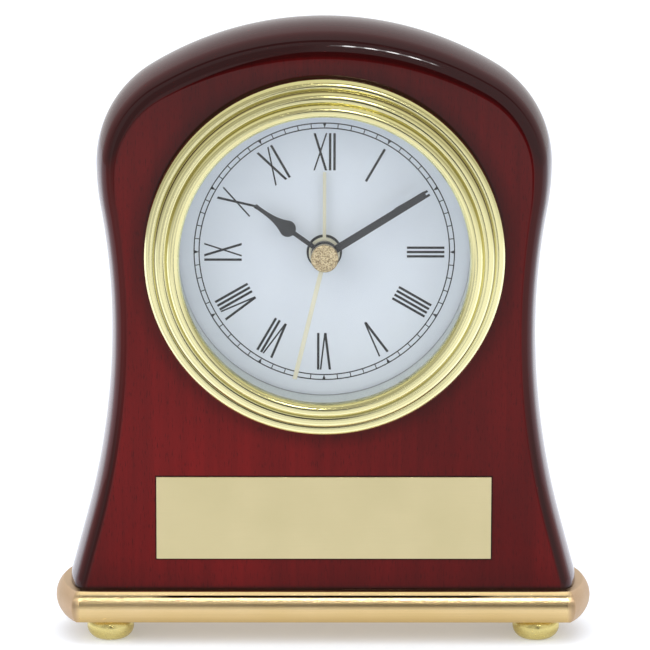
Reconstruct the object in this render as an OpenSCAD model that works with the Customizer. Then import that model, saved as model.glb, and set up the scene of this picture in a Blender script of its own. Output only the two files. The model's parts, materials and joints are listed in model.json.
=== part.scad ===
// Desk clock: a lacquered wooden case with a quartz alarm insert, on a brass base with bun feet.
// The clock stands on z = 0 and faces -Y. Its origin is under the middle of its bounding box.
// The insert is drawn in a frame of its own: +z points out of the dial at the reader, +y points up,
// and z = 0 is the face of the wood. See place_insert().

/* [Wooden case] */
// Height of the clock, from the table to the top of the wood
clock_h = 166.5; // [162:0.5:175]
// Thickness of the wooden block, front to back
case_t = 28.6; // [26:0.2:36]
// Width of the block across its shoulders
shoulder_w = 120.8; // [118:0.2:130]
// Distance from the top down to the widest point of the shoulders
shoulder_drop = 38.9; // [34:0.1:42]
// Radius of the corner between shoulder and top
shoulder_r = 30.5; // [22:0.5:33]
// Radius of the swelling below the shoulder's widest point
lower_shoulder_r = 66; // [40:0.5:110]
// Width of the block at its waist
waist_w = 113; // [110:0.1:116]
// Height of the waist above the base
waist_rise = 69.9; // [60:0.1:72]
// Radius of the hollow curve from the waist down
flare_r = 199; // [150:1:230]
// Slope of the sides at the foot of the block, from upright
flare_angle = 15.2; // [10:0.1:17]
// Radius that turns the sides upright again at the base
toe_r = 12; // [6:0.5:16]
// How far the sides and the top swell between front and back
crown_bulge = 3.4; // [1:0.1:5]
// Radius of the front edge
front_edge_r = 5.5; // [2:0.1:7]
// Share of the edge's full rounding that is left at the sides, up to the waist
side_ease = 0.7; // [0.5:0.05:1.2]
// Share of the edge's full rounding at the top
top_ease = 1.37; // [0.8:0.01:1.5]
// Radius of the back edge
back_edge_r = 3; // [1:0.1:5]

/* [Base and feet] */
// Thickness of the brass base
base_t = 8.6; // [7:0.1:12]
// How far the base shows in front of and behind the wood
base_ledge = 2.2; // [1:0.1:5]
// Width of the base's flat top at its front corners
base_w = 131.8; // [128:0.2:142]
// How far the ends of the base bow outward
base_bow = 4.1; // [1:0.1:7]
// How far the rounded edge of the base stands out at half height
base_bulge = 1.87; // [0.5:0.01:3.5]
// Height of a foot
foot_h = 5.9; // [3.5:0.1:8]
// Largest radius of a foot
foot_r = 6.3; // [5:0.1:8]
// Radius of the swelling of a foot's side
foot_swell_r = 3.6; // [2.5:0.1:4]
// Height of the fullest part of a foot
foot_full_h = 3.5; // [2:0.1:3.5]
// Distance between the feet, left to right
foot_span_x = 114; // [100:0.5:120]
// Distance between the feet, front to back
foot_span_y = 17; // [14:0.5:20]
// Radius of the shank of the screws in the feet
foot_screw_r = 1.5; // [1:0.1:2]
// Depth that the foot screws reach into the base
foot_screw_depth = 6.5; // [3:0.5:7]
// Radius of the shank of the screws that hold the wood
case_screw_r = 1.8; // [1.2:0.1:2.5]
// Depth that the case screws reach into the wood
case_screw_depth = 12; // [8:0.5:20]
// Distance between the case screws
case_screw_span = 60; // [40:1:90]

/* [Nameplate] */
// Width of the plate
plate_w = 88.9; // [60:0.1:100]
// Height of the plate
plate_h = 22.2; // [15:0.1:28]
// Thickness of the plate
plate_t = 0.6; // [0.4:0.1:1.5]
// How far the plate's middle lies below the middle of the space between bezel and base
plate_drop = 1.8; // [0:0.1:4]

/* [Bezel and dial] */
// Distance from the top of the wood down to the middle of the dial
dial_drop = 61.6; // [59:0.1:64]
// Radius of the bore through the wood
bore_r = 44.6; // [44.2:0.1:45.6]
// Outer radius of the bezel
bezel_r = 47.5; // [47.2:0.1:49.5]
// Radius of the opening in the bezel
lip_r = 38; // [37:0.1:38.4]
// How far the bezel's highest bead stands out of the wood
bezel_proud = 10.4; // [9.4:0.1:11]
// How far the lip lies behind the highest bead
lip_drop = 3.7; // [3:0.1:4.5]
// Radius of the bezel's outer bead
outer_bead_r = 2.1; // [1.8:0.05:2.4]
// Radius of the bezel's middle bead
middle_bead_r = 2.2; // [1.8:0.05:2.6]
// Radius of the bezel's inner bead
inner_bead_r = 1.7; // [1.4:0.05:2]
// Distance of the outer bead's middle from the wood
outer_bead_z = 3.4; // [2.4:0.1:3.6]
// Radius of the glass
lens_r = 39.7; // [39.2:0.1:40]
// Thickness of the glass
lens_t = 1.6; // [1:0.1:1.7]
// Depth of the dial's face behind the wood's face
dial_depth = 6; // [5.6:0.1:6.4]
// Thickness of the dial
dial_t = 0.4; // [0.3:0.05:0.8]
// Radius of the hole in the middle of the dial
dial_hole_r = 4.7; // [4.4:0.1:5.5]
// Thickness of the reflector ring between dial and glass
ring_t = 1.2; // [0.8:0.1:1.3]
// Width of the rubber band that grips the bore
band_w = 6; // [3:0.5:7]

/* [Hands] */
// Length of the hour hand from its axis
hour_hand_l = 22.4; // [18:0.1:26]
// Length of the minute hand from its axis
minute_hand_l = 32; // [28:0.1:34]
// Length of the second hand from its axis
second_hand_l = 33.5; // [28:0.1:35]
// Length of the alarm hand from its axis
alarm_hand_l = 21.6; // [16:0.1:26]
// Width of the minute hand at its root
minute_hand_w = 2; // [1.2:0.1:3]
// Width of the minute hand at its tip
minute_tip_w = 1.7; // [0.6:0.1:3]
// Width of the second hand
second_hand_w = 1.15; // [0.5:0.05:1.5]
// Width of the alarm hand
alarm_hand_w = 0.9; // [0.5:0.05:1.5]
// Width of the hour hand's stem
hour_stem_w = 1.2; // [0.8:0.05:2]
// Width of the hour hand's tip
hour_tip_w = 0.85; // [0.5:0.05:1.5]
// Distance from the axis to the middle of the hour hand's swelling
hour_pear_l = 11.3; // [8:0.1:14]
// Distance from the axis to where the swelling ends in the tip
hour_neck_l = 17.5; // [14:0.1:20]
// Radius of the hour hand's pear-shaped swelling
pear_r = 2.15; // [1.6:0.05:2.8]
// Thickness of a hand
hand_t = 0.4; // [0.2:0.05:0.5]
// Radius of the gold cap over the hands
cap_r = 3.65; // [3.2:0.05:4]
// Angle of the hour hand, clockwise from twelve
hour_hand_angle = 305.5; // [0:0.5:359.5]
// Angle of the minute hand, clockwise from twelve
minute_hand_angle = 59; // [0:0.5:359.5]
// Angle of the second hand, clockwise from twelve
second_hand_angle = 193.5; // [0:0.5:359.5]
// Angle of the alarm hand, clockwise from twelve
alarm_hand_angle = 0; // [0:0.5:359.5]

/* [Movement] */
// Wall of the rear housing
housing_wall = 1.5; // [1.2:0.1:1.7]
// Wall of the bezel's barrel, which the housing slides into
barrel_wall = 1.2; // [0.9:0.1:1.4]
// Space between the circuit board and the floor of the housing
floor_space = 3; // [2.4:0.1:6]
// Thickness of a movement plate
plate_gauge = 1; // [0.8:0.1:1.2]
// Thickness of a train wheel
wheel_t = 0.8; // [0.5:0.1:1]
// Radius of the knobs at the back
knob_r = 4.6; // [3.6:0.1:4.8]
// Length of the knobs
knob_l = 4.2; // [3:0.1:6]
// Radius of the battery
battery_r = 7.25; // [7.1:0.05:7.3]
// Length of the battery
battery_l = 50.2; // [49.5:0.1:50.5]
// Radius of the buzzer
buzzer_r = 10; // [7:0.5:10]
// Distance from the hands' axis to the minute wheel, and on to the time shaft
minute_reach = 12; // [11.9:0.05:12.1]
// Distance from the hands' axis to the third wheel
third_reach = 12.24; // [12.1:0.02:12.4]
// Distance from the hands' axis to the intermediate wheel
intermediate_reach = 11.2; // [11:0.05:11.3]
// Distance from the intermediate wheel to the rotor
rotor_reach = 8.64; // [8.4:0.02:8.8]
// Distance from the hands' axis to the alarm shaft
alarm_reach = 12.6; // [12.5:0.02:12.7]
// Travel of the alarm switch
switch_travel = 3; // [1.5:0.1:4]

/* [Clearances] */
// Radial clearance of an arbor or tube in its bearing
run_gap = 0.05; // [0.03:0.01:0.1]
// Radial clearance of a fixed fit
fit_gap = 0.05; // [0.03:0.01:0.1]
// Radial clearance of a hand's hub or a knob on its shaft
press_gap = 0.02; // [0.01:0.01:0.05]
// Gap between parts that move past each other
move_gap = 0.3; // [0.2:0.05:0.4]

/* [Hidden] */
$fn = 64;

// Heights of the stand, the dial and the plate
base_top = foot_h + base_t;
dial_z = clock_h - dial_drop;
plate_z = (base_top + dial_z - bezel_r) / 2 - plate_drop;

// Outline of the wooden block: arcs that meet along common tangents
shoulder_z = clock_h - shoulder_drop;
waist_z = base_top + waist_rise;
shoulder_x = shoulder_w / 2;
waist_x = waist_w / 2;
swing = 2 * atan((shoulder_x - waist_x) / (shoulder_z - waist_z));
waist_r = (shoulder_z - waist_z) / sin(swing) - lower_shoulder_r;
corner_x = shoulder_x - shoulder_r;
top_r = (pow(corner_x, 2) + pow(shoulder_drop, 2) - pow(shoulder_r, 2))
    / (2 * (shoulder_drop - shoulder_r));
top_turn = atan2(shoulder_z - clock_h + top_r, corner_x);
flare_end = [waist_x + flare_r * (1 - cos(flare_angle)), waist_z - flare_r * sin(flare_angle)];
flare_run = flare_end[1] - base_top - toe_r * sin(flare_angle);
toe_x = flare_end[0] + flare_run * tan(flare_angle) - toe_r * cos(flare_angle);

// Section of the block's edge: a front round, a crown from front to back, and a back round
crown_r = (pow(case_t / 2, 2) + pow(crown_bulge, 2)) / (2 * crown_bulge);
front_lean = asin((case_t / 2 - front_edge_r) / (crown_r - front_edge_r));
back_lean = asin((case_t / 2 - back_edge_r) / (crown_r - back_edge_r));
front_inset = crown_r - (crown_r - front_edge_r) * cos(front_lean);
back_inset = crown_r - (crown_r - back_edge_r) * cos(back_lean);

// Rounded edge of the base, and the bow of its ends
edge_r = (pow(base_t / 2, 2) + pow(base_bulge, 2)) / (2 * base_bulge);
base_half_t = case_t / 2 + base_ledge;
bow_r = (pow(base_half_t, 2) + pow(base_bow, 2)) / (2 * base_bow);
base_end_x = base_w / 2 + base_bow;

// Heads of the stand's screws, in proportion to their shanks, and how far they are sunk
screw_head_h = 1.6;
foot_screw_head_r = 1.75 * foot_screw_r;
case_screw_head_r = 1.9 * case_screw_r;
foot_screw_sink = 0.35;
case_screw_sink = 0.6;
head_room = 0.3;

// Radii of the insert, from the bore inward
band_gap = 0.1;
band_t = 0.9;
barrel_r = bore_r - band_gap - band_t;
housing_r = barrel_r - barrel_wall - fit_gap;
housing_in_r = housing_r - housing_wall;
seat_r = lens_r + 0.1;
front_plate_r = housing_in_r - 0.2;
dial_r = seat_r - 0.1;

// Depths of the insert, measured along its own z
lip_z = bezel_proud - lip_drop;
lens_z = lip_z - lens_t;
dial_z0 = -dial_depth - dial_t;
front_plate_t = 2;
front_plate_z = dial_z0 - front_plate_t;
barrel_l = 10;

// Levels of the train, front to back; each is the front face of its wheel
layer = 1.4;
alarm_level = front_plate_z - 0.4;
hour_level = alarm_level - layer;
minute_level = hour_level - layer;
centre_level = minute_level - 1.6;
middle_plate_z = centre_level - wheel_t - 1 - plate_gauge;
third_level = middle_plate_z - 0.6;
second_level = third_level - 1.6;
intermediate_level = second_level - 1.6;
bridge_z = intermediate_level - wheel_t - 0.8 - plate_gauge;

// Levels of the hands; each is the back face of its hand
alarm_hand_z = -dial_depth + 1.5;
hour_hand_z = alarm_hand_z + 2.3;
minute_hand_z = hour_hand_z + 2.4;
second_hand_z = minute_hand_z + 1.8;
cap_top_z = lens_z - 0.5;
cap_face_t = 0.5;
alarm_hub_r = 4.1;
hour_hub_r = 3.55;
minute_hub_r = 3.3;
second_eye_r = 1.6;
hub_lap = 0.5;

// Nested tubes on the hands' axis
second_arbor_r = 0.45;
cannon_in_r = second_arbor_r + run_gap;
cannon_r = cannon_in_r + 0.5;
hour_in_r = cannon_r + run_gap;
hour_r = hour_in_r + 0.6;
alarm_in_r = hour_r + run_gap;
alarm_r = alarm_in_r + 0.55;
arbor_r = 0.5;
shaft_r = 1;
pivot_inset = 0.4;
knob_end_t = 0.6;
knob_flutes = 16;
flute_r = 0.6;

// Teeth; the ratios between the hands fix these counts
rotor_teeth = 8;
intermediate_teeth = 40;
intermediate_leaves = 8;
second_teeth = 48;
second_leaves = 8;
third_teeth = 60;
third_leaves = 8;
centre_teeth = 64;
cannon_leaves = 10;
minute_teeth = 30;
minute_leaves = 8;
hour_teeth = 32;
time_leaves = 10;
alarm_teeth = 44;
alarm_leaves = 12;

// Modules that fit those counts between their axes
rotor_mod = 2 * rotor_reach / (rotor_teeth + intermediate_teeth);
second_mod = 2 * intermediate_reach / (intermediate_leaves + second_teeth);
third_mod = 2 * third_reach / (second_leaves + third_teeth);
centre_mod = 2 * third_reach / (third_leaves + centre_teeth);
minute_mod = 2 * minute_reach / (cannon_leaves + minute_teeth);
hour_mod = 2 * minute_reach / (minute_leaves + hour_teeth);
time_mod = minute_mod;
time_reach = time_mod * (minute_teeth + time_leaves) / 2;
alarm_mod = 2 * alarm_reach / (alarm_teeth + alarm_leaves);

// Directions of the axes, counter-clockwise from +x
minute_dir = 30;
time_dir = -30;
third_dir = 150;
intermediate_dir = 80;
rotor_dir = 35;
alarm_dir = -145;

// Places of the axes
function polar(r, a) = [r * cos(a), r * sin(a)];
hands_at = [0, 0];
minute_at = polar(minute_reach, minute_dir);
time_at = minute_at + polar(time_reach, time_dir);
third_at = polar(third_reach, third_dir);
intermediate_at = polar(intermediate_reach, intermediate_dir);
rotor_at = intermediate_at + polar(rotor_reach, rotor_dir);
alarm_at = polar(alarm_reach, alarm_dir);

// Tooth phases that let each pair mesh: a gap of the second faces a tooth of the first
function mesh(phase, dir, teeth, next_teeth) =
    dir + 180 + 180 / next_teeth - (phase - dir) * teeth / next_teeth;
centre_phase = mesh(0, 180 + third_dir, third_leaves, centre_teeth);
minute_phase = mesh(0, minute_dir, cannon_leaves, minute_teeth);
hour_phase = mesh(0, 180 + minute_dir, minute_leaves, hour_teeth);
time_phase = mesh(minute_phase, time_dir, minute_teeth, time_leaves);
third_phase = mesh(0, third_dir, second_leaves, third_teeth);
second_phase = mesh(0, 180 + intermediate_dir, intermediate_leaves, second_teeth);
intermediate_phase = 0;
rotor_phase = mesh(intermediate_phase, rotor_dir, intermediate_teeth, rotor_teeth);
alarm_leaf_phase = mesh(0, alarm_dir, alarm_teeth, alarm_leaves);

// Tooth shapes in modules: addendum, dedendum, half width at tip, pitch circle and root
wheel_tooth = [0.85, 0.9, 0.25, 0.58, 0.8];
leaf_tooth = [0.6, 1.2, 0.32, 0.58, 0.5];

// Movement plates and what holds them together
plate_x = [-26, 28];
plate_y = [-13.2, 20.5];
plate_corner_r = 4;
pillar_r = 1.6;
pillars_at = [[-22, -9], [-20, 16], [25.5, 8], [8, -11.3]];
bridge_screw_r = 0.7;
bridge_screw_head_r = 1.4;
bridge_screw_head_h = 0.8;
bridge_screw_stop = 3;
post_r = 2.5;
post_reach = 36;
post_dirs = [30, 150, 270];
housing_screw_r = 1.1;
housing_screw_head_r = 2.2;
housing_screw_head_h = 1.2;
housing_screw_l = 7;

// Coil, stator and rotor of the motor
magnet_r = 3;
magnet_t = 2;
stator_t = 0.8;
stator_z = second_level;
stator_x = [-6, 24];
stator_bar_y = [12.2, 19.8];
core_y = 25.6;
core_w = 3;
coil_x = [-2.4, 20.4];
coil_z = stator_z - stator_t / 2;
bobbin_r = 4.2;
bobbin_tube_r = 2.1;
winding_r = 3.7;
bobbin_wall = 0.8;
stator_post_r = 1.2;
stator_posts_at = [[-4.5, 17.8], [22.4, 17]];

// Circuit board and buzzer
board_x = [-4, 26];
board_y = [8.5, 28];
board_t = 1;
board_z = bridge_z - 1.6;
board_post_r = 1.4;
board_posts_at = [[-1, 17], [22, 17]];
chip_at = [7, 20];
chip_r = 3;
chip_h = 0.8;
crystal_at = [14, 24];
crystal_r = 1.05;
crystal_l = 6.2;
buzzer_at = [-17, 19];
buzzer_t = 3.4;
buzzer_port_r = 1;
sound_hole_r = 0.9;
sound_hole_ring_r = 4.5;

// Floor of the housing behind the board, and the depth of the whole clock
floor_t = 1.5;
floor_z = board_z - board_t - floor_space;
housing_z = floor_z - floor_t;
front_reach = case_t / 2 + bezel_proud;
rear_reach = max(case_t / 2 + base_ledge + base_bulge,
    knob_l + move_gap - housing_z - case_t / 2);
stand_y = (front_reach - rear_reach) / 2;
face_y = stand_y - case_t / 2;

// Battery and its bay
battery_y = -22;
bay_wall = 1.1;
bay_x = battery_l / 2 + 1.9;
bay_y = [battery_y - battery_r - 0.35, battery_y + battery_r + 0.35];
battery_z = floor_z + 0.3 + battery_r;
bay_front = battery_z + battery_r + 0.2;
battery_nub_r = 2.7;
battery_nub_l = 1.2;
contact_t = 0.4;
contact_gap = 0.2;
plus_boss_r = 2;
minus_boss_r = 4;
door_rim = 0.6;
door_gap = 0.2;
grip_count = 5;
grip = [12, 0.8, 0.6];
grip_step = 2;

// Alarm switch
switch_at = [-25.5, -2];
switch_stem = [2.4, 2];
switch_button = [4.6, 3.4, 1.4];
switch_flange = [6.8, 5, 0.8];
switch_lift = 0.2;

// Beads of the bezel, each a centre and a radius in the plane of radius and depth
outer_bead = [bezel_r - outer_bead_r, outer_bead_z, outer_bead_r];
inner_bead = [lip_r + inner_bead_r, bezel_proud - inner_bead_r, inner_bead_r];
middle_bead = [(outer_bead[0] + inner_bead[0]) / 2, (outer_bead[1] + inner_bead[1]) / 2 + 0.3,
    middle_bead_r];
bezel_foot_h = 0.7;
bezel_foot_inset = 0.4;

// Arc of an outline without its first point, as rows of x, z and the outward normal
function arc_rows(cx, cz, r, from, to, steps, side) =
    [for (i = [1:steps]) let (a = from + (to - from) * i / steps)
        [cx + r * cos(a), cz + r * sin(a), side * cos(a), side * sin(a)]];

// Right half of the block's outline, from the base up to the top
half_outline = concat(
    [[toe_x + toe_r, base_top, 1, 0]],
    arc_rows(toe_x, base_top, toe_r, 0, flare_angle, 3, 1),
    [[flare_end[0], flare_end[1], cos(flare_angle), sin(flare_angle)]],
    arc_rows(waist_x + flare_r, waist_z, flare_r, 180 + flare_angle, 180, 6, -1),
    arc_rows(waist_x + waist_r, waist_z, waist_r, 180, 180 - swing, 4, -1),
    arc_rows(shoulder_x - lower_shoulder_r, shoulder_z, lower_shoulder_r, -swing, 0, 3, 1),
    arc_rows(corner_x, shoulder_z, shoulder_r, 0, top_turn, 8, 1),
    arc_rows(0, clock_h - top_r, top_r, top_turn, 90, 6, 1));
last_row = len(half_outline) - 1;
outline = concat(half_outline, [for (i = [1:last_row]) let (r = half_outline[last_row - i])
    [-r[0], r[1], -r[2], r[3]]]);

// Section of the block's edge as rows of depth behind the face and inset from the outline
edge_rows = concat(
    [for (i = [0:4]) let (a = (90 - front_lean) * i / 4)
        [front_edge_r * (1 - cos(a)), front_inset - front_edge_r * sin(a)]],
    [for (i = [1:6]) let (a = i < 3 ? -front_lean * (1 - i / 3) : back_lean * (i - 3) / 3)
        [case_t / 2 + crown_r * sin(a), crown_r * (1 - cos(a))]],
    [for (i = [1:3]) let (a = (90 - back_lean) * (1 - i / 3))
        [case_t - back_edge_r * (1 - cos(a)), back_inset - back_edge_r * sin(a)]]);

// Share of the edge's rounding at a height: it grows from the waist to the top
function ease(z) = side_ease
    + (top_ease - side_ease) * pow(max(0, z - waist_z) / (clock_h - waist_z), 2);

// Block of wood: rings along the edge section, closed by a fan of triangles front and back
module wood_block() {
    n = len(outline);
    rings = len(edge_rows);
    points = concat(
        [for (e = edge_rows) each [for (r = outline) let (inset = e[1] * ease(r[1]))
            [r[0] - inset * r[2], face_y + e[0], r[1] - inset * r[3]]]],
        [[0, face_y, dial_z], [0, face_y + case_t, dial_z]]);
    front_middle = n * rings;
    back_middle = front_middle + 1;
    back_ring = n * (rings - 1);
    faces = concat(
        [for (i = [0:n - 1]) [front_middle, (i + 1) % n, i]],
        [for (i = [0:n - 1]) [back_middle, back_ring + i, back_ring + (i + 1) % n]],
        [for (k = [0:rings - 2]) each [for (i = [0:n - 1]) each
            let (a = k * n + i, b = k * n + (i + 1) % n) [[a, b, b + n], [a, b + n, a + n]]]]);
    polyhedron(points, faces);
}

// Round bar along the clock's depth, through the wood
module across(r) {
    translate([0, face_y - 1, dial_z]) rotate([-90, 0, 0]) cylinder(r = r, h = case_t + 2);
}

// Places of the screws that hold the wood on the base
module at_case_screws() {
    for (side = [-1, 1]) translate([side * case_screw_span / 2, stand_y, 0]) children();
}

// Place of one foot, side -1 left or 1 right, end -1 front or 1 rear
module at_foot(side, end) {
    translate([side * foot_span_x / 2, stand_y + end * foot_span_y / 2, 0]) children();
}

// Places of all four feet
module at_feet() {
    for (side = [-1, 1], end = [-1, 1]) at_foot(side, end) children();
}

module wooden_case() {
    color([0.42, 0.1, 0.11]) difference() {
        wood_block();
        across(bore_r);
        at_case_screws() translate([0, 0, base_top - 1])
            cylinder(r = case_screw_r + fit_gap, h = case_screw_depth + 1.5);
    }
}

// Section of the base's edge: a flat strip of the given width, rounded at its outer end
module edge_section(reach) {
    square([reach, base_t]);
    intersection() {
        translate([reach, 0]) square([base_bulge + 1, base_t]);
        translate([reach + base_bulge - edge_r, base_t / 2]) circle(edge_r);
    }
}

// Bar of the base, rounded along its front and its back
module base_bar() {
    rotate([90, 0, 90]) linear_extrude(2 * base_end_x + 20, center = true) {
        edge_section(base_half_t);
        mirror([1, 0]) edge_section(base_half_t);
    }
}

// Bowed ends of the base: a disc at each end, joined by a block wider than the bar
module base_bow_shape() {
    for (side = [-1, 1]) translate([side * (base_end_x - bow_r), 0, 0])
        rotate_extrude($fn = 96) edge_section(bow_r);
    half = base_end_x - bow_r;
    translate([-half, -bow_r, 0]) cube([2 * half, 2 * bow_r, base_t]);
}

module base_plate() {
    color([0.85, 0.7, 0.5]) translate([0, 0, foot_h]) difference() {
        translate([0, stand_y, 0]) intersection() {
            base_bar();
            base_bow_shape();
        }
        at_feet() translate([0, 0, -1])
            cylinder(r = foot_screw_r + fit_gap, h = foot_screw_depth + 1.5);
        at_case_screws() {
            translate([0, 0, -1]) cylinder(r = case_screw_r + fit_gap, h = base_t + 2);
            translate([0, 0, -1])
                cylinder(r = case_screw_head_r + head_room, h = 1 + case_screw_sink + screw_head_h);
        }
    }
}

// Bun foot: a flat disc with a swelling edge, bored and sunk for its screw
module foot() {
    difference() {
        rotate_extrude() {
            square([foot_r - foot_swell_r, foot_h]);
            intersection() {
                translate([foot_r - foot_swell_r, foot_full_h]) circle(foot_swell_r);
                square([foot_r + 1, foot_h]);
            }
        }
        translate([0, 0, -1]) cylinder(r = foot_screw_r + fit_gap, h = foot_h + 2);
        translate([0, 0, -1])
            cylinder(r = foot_screw_head_r + fit_gap, h = 1 + foot_screw_sink + screw_head_h);
    }
}

module foot_front_left() { color([0.8, 0.72, 0.4]) at_foot(-1, -1) foot(); }
module foot_front_right() { color([0.8, 0.72, 0.4]) at_foot(1, -1) foot(); }
module foot_rear_left() { color([0.8, 0.72, 0.4]) at_foot(-1, 1) foot(); }
module foot_rear_right() { color([0.8, 0.72, 0.4]) at_foot(1, 1) foot(); }

// Screw with a flat head, drawn upward from its head, with a cross recess in the head
module pan_screw(shank_r, head_r, head_h, length) {
    difference() {
        union() {
            cylinder(r = head_r, h = head_h);
            cylinder(r = shank_r, h = length);
        }
        for (turn = [0, 90]) rotate([0, 0, turn])
            translate([-0.7 * head_r, -0.14 * head_r, -0.1])
                cube([1.4 * head_r, 0.28 * head_r, 0.5 * head_h + 0.1]);
    }
}

module foot_screws() {
    color("goldenrod") at_feet() translate([0, 0, foot_screw_sink])
        pan_screw(foot_screw_r, foot_screw_head_r, screw_head_h,
            foot_h + foot_screw_depth - foot_screw_sink);
}

module case_screws() {
    head_z = foot_h + case_screw_sink;
    color("silver") at_case_screws() translate([0, 0, head_z])
        pan_screw(case_screw_r, case_screw_head_r, screw_head_h,
            base_top + case_screw_depth - head_z);
}

module nameplate() {
    color([0.85, 0.79, 0.6]) translate([-plate_w / 2, face_y - plate_t, plate_z - plate_h / 2])
        cube([plate_w, plate_t, plate_h]);
}

// Carries what is drawn in the insert's frame to its place in the wood
module place_insert() {
    translate([0, face_y, dial_z]) rotate([90, 0, 0]) children();
}

// Ring between two radii and two depths
module ring(outer, inner, z0, z1) {
    translate([0, 0, z0]) difference() {
        cylinder(r = outer, h = z1 - z0);
        translate([0, 0, -1]) cylinder(r = inner, h = z1 - z0 + 2);
    }
}

module bezel() {
    inner_r = housing_r + fit_gap;
    color([0.87, 0.84, 0.55]) place_insert() rotate_extrude($fn = 128) difference() {
        union() {
            polygon([[inner_r, -barrel_l], [barrel_r, -barrel_l], [barrel_r, 0],
                [bezel_r - bezel_foot_inset, 0], [bezel_r - bezel_foot_inset, bezel_foot_h],
                [outer_bead[0], outer_bead[1]],
                [middle_bead[0], middle_bead[1]], [inner_bead[0], inner_bead[1]],
                [lip_r, inner_bead[1]], [lip_r, lip_z], [seat_r, lip_z],
                [seat_r, dial_z0], [inner_r, dial_z0]]);
            for (b = [outer_bead, middle_bead, inner_bead]) translate([b[0], b[1]]) circle(b[2]);
        }
        translate([lip_r - 5, -barrel_l]) square([5, barrel_l + bezel_proud + 1]);
        translate([lip_r - 1, -barrel_l]) square([seat_r - lip_r + 1, barrel_l + lip_z]);
    }
}

module lens() {
    color([0.9, 0.95, 0.98, 0.3]) place_insert() translate([0, 0, lens_z])
        cylinder(r = lens_r, h = lens_t, $fn = 128);
}

module dial_ring() {
    color([0.75, 0.77, 0.76]) place_insert()
        ring(seat_r - fit_gap, lens_r - ring_t, -dial_depth, lens_z, $fn = 128);
}

module dial() {
    color([0.87, 0.89, 0.92]) place_insert()
        ring(dial_r, dial_hole_r, dial_z0, -dial_depth, $fn = 128);
}

module rubber_band() {
    color([0.15, 0.15, 0.15]) place_insert()
        ring(barrel_r + band_t, barrel_r + fit_gap / 2, -1.5 - band_w, -1.5, $fn = 128);
}

// Rectangle with round corners between two x and two y values
module rounded_plate(xs, ys, r, t) {
    w = xs[1] - xs[0];
    h = ys[1] - ys[0];
    translate([xs[0], ys[0], 0]) linear_extrude(t) {
        translate([r, 0]) square([w - 2 * r, h]);
        translate([0, r]) square([w, h - 2 * r]);
        for (x = [r, w - r], y = [r, h - r]) translate([x, y]) circle(r);
    }
}

// Round hole or pin between two depths
module pin(at, r, z0, z1) {
    translate([at[0], at[1], z0]) cylinder(r = r, h = z1 - z0);
}

// Bearing bores that a plate has in common with the others
module bearing_bores(places, r, z0, z1) {
    for (p = places) pin(p, r + run_gap, z0, z1);
}

module front_plate() {
    plate_z0 = front_plate_z - 1;
    plate_z1 = dial_z0 + 1;
    color([0.2, 0.2, 0.22]) place_insert() difference() {
        union() {
            translate([0, 0, front_plate_z]) cylinder(r = front_plate_r, h = front_plate_t, $fn = 128);
            for (p = pillars_at) pin(p, pillar_r, middle_plate_z + plate_gauge, front_plate_z);
        }
        pin(hands_at, alarm_r + run_gap, plate_z0, plate_z1);
        bearing_bores([minute_at, third_at], arbor_r, plate_z0, plate_z1);
        bearing_bores([time_at, alarm_at], shaft_r, plate_z0, plate_z1);
        for (p = pillars_at)
            pin(p, bridge_screw_r + fit_gap, middle_plate_z, front_plate_z - 2);
        for (a = post_dirs) translate(concat(polar(post_reach, a), [0])) {
            translate([0, 0, plate_z0]) cylinder(r = housing_screw_r + fit_gap, h = 4);
            translate([0, 0, dial_z0 - housing_screw_head_h])
                cylinder(r1 = housing_screw_r + fit_gap, r2 = housing_screw_head_r + fit_gap,
                    h = housing_screw_head_h);
        }
    }
}

module middle_plate() {
    z0 = middle_plate_z - 1;
    z1 = middle_plate_z + plate_gauge + 1;
    color([0.85, 0.85, 0.82]) place_insert() difference() {
        union() {
            translate([0, 0, middle_plate_z])
                rounded_plate(plate_x, plate_y, plate_corner_r, plate_gauge);
            for (p = stator_posts_at) pin(p, stator_post_r, stator_z, middle_plate_z);
        }
        bearing_bores([hands_at], cannon_r, z0, z1);
        bearing_bores([minute_at, third_at, intermediate_at, rotor_at], arbor_r, z0, z1);
        bearing_bores([time_at, alarm_at], shaft_r, z0, z1);
        for (p = pillars_at) pin(p, bridge_screw_r + fit_gap, z0, z1);
    }
}

module rear_bridge() {
    z0 = bridge_z - 1;
    z1 = bridge_z + plate_gauge + 1;
    color([0.85, 0.85, 0.82]) place_insert() difference() {
        union() {
            translate([0, 0, bridge_z])
                rounded_plate(plate_x, plate_y, plate_corner_r, plate_gauge);
            for (p = pillars_at) pin(p, pillar_r, bridge_z, middle_plate_z);
            for (p = board_posts_at) pin(p, board_post_r, board_z, bridge_z);
        }
        bearing_bores([hands_at], second_arbor_r, z0, z1);
        bearing_bores([third_at, intermediate_at, rotor_at], arbor_r, z0, z1);
        bearing_bores([time_at, alarm_at], shaft_r, z0, z1);
        for (p = pillars_at) pin(p, bridge_screw_r + fit_gap, z0, middle_plate_z + 1);
    }
}

module bridge_screws() {
    length = front_plate_z - bridge_screw_stop - bridge_z;
    color("silver") place_insert() for (p = pillars_at)
        translate([p[0], p[1], bridge_z - bridge_screw_head_h])
            pan_screw(bridge_screw_r, bridge_screw_head_r, bridge_screw_head_h, length);
}

module housing_screws() {
    color("silver") place_insert() for (a = post_dirs)
        translate(concat(polar(post_reach, a), [dial_z0])) {
            translate([0, 0, -housing_screw_l]) cylinder(r = housing_screw_r, h = housing_screw_l);
            translate([0, 0, -housing_screw_head_h]) cylinder(r1 = housing_screw_r,
                r2 = housing_screw_head_r, h = housing_screw_head_h);
        }
}

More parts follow.
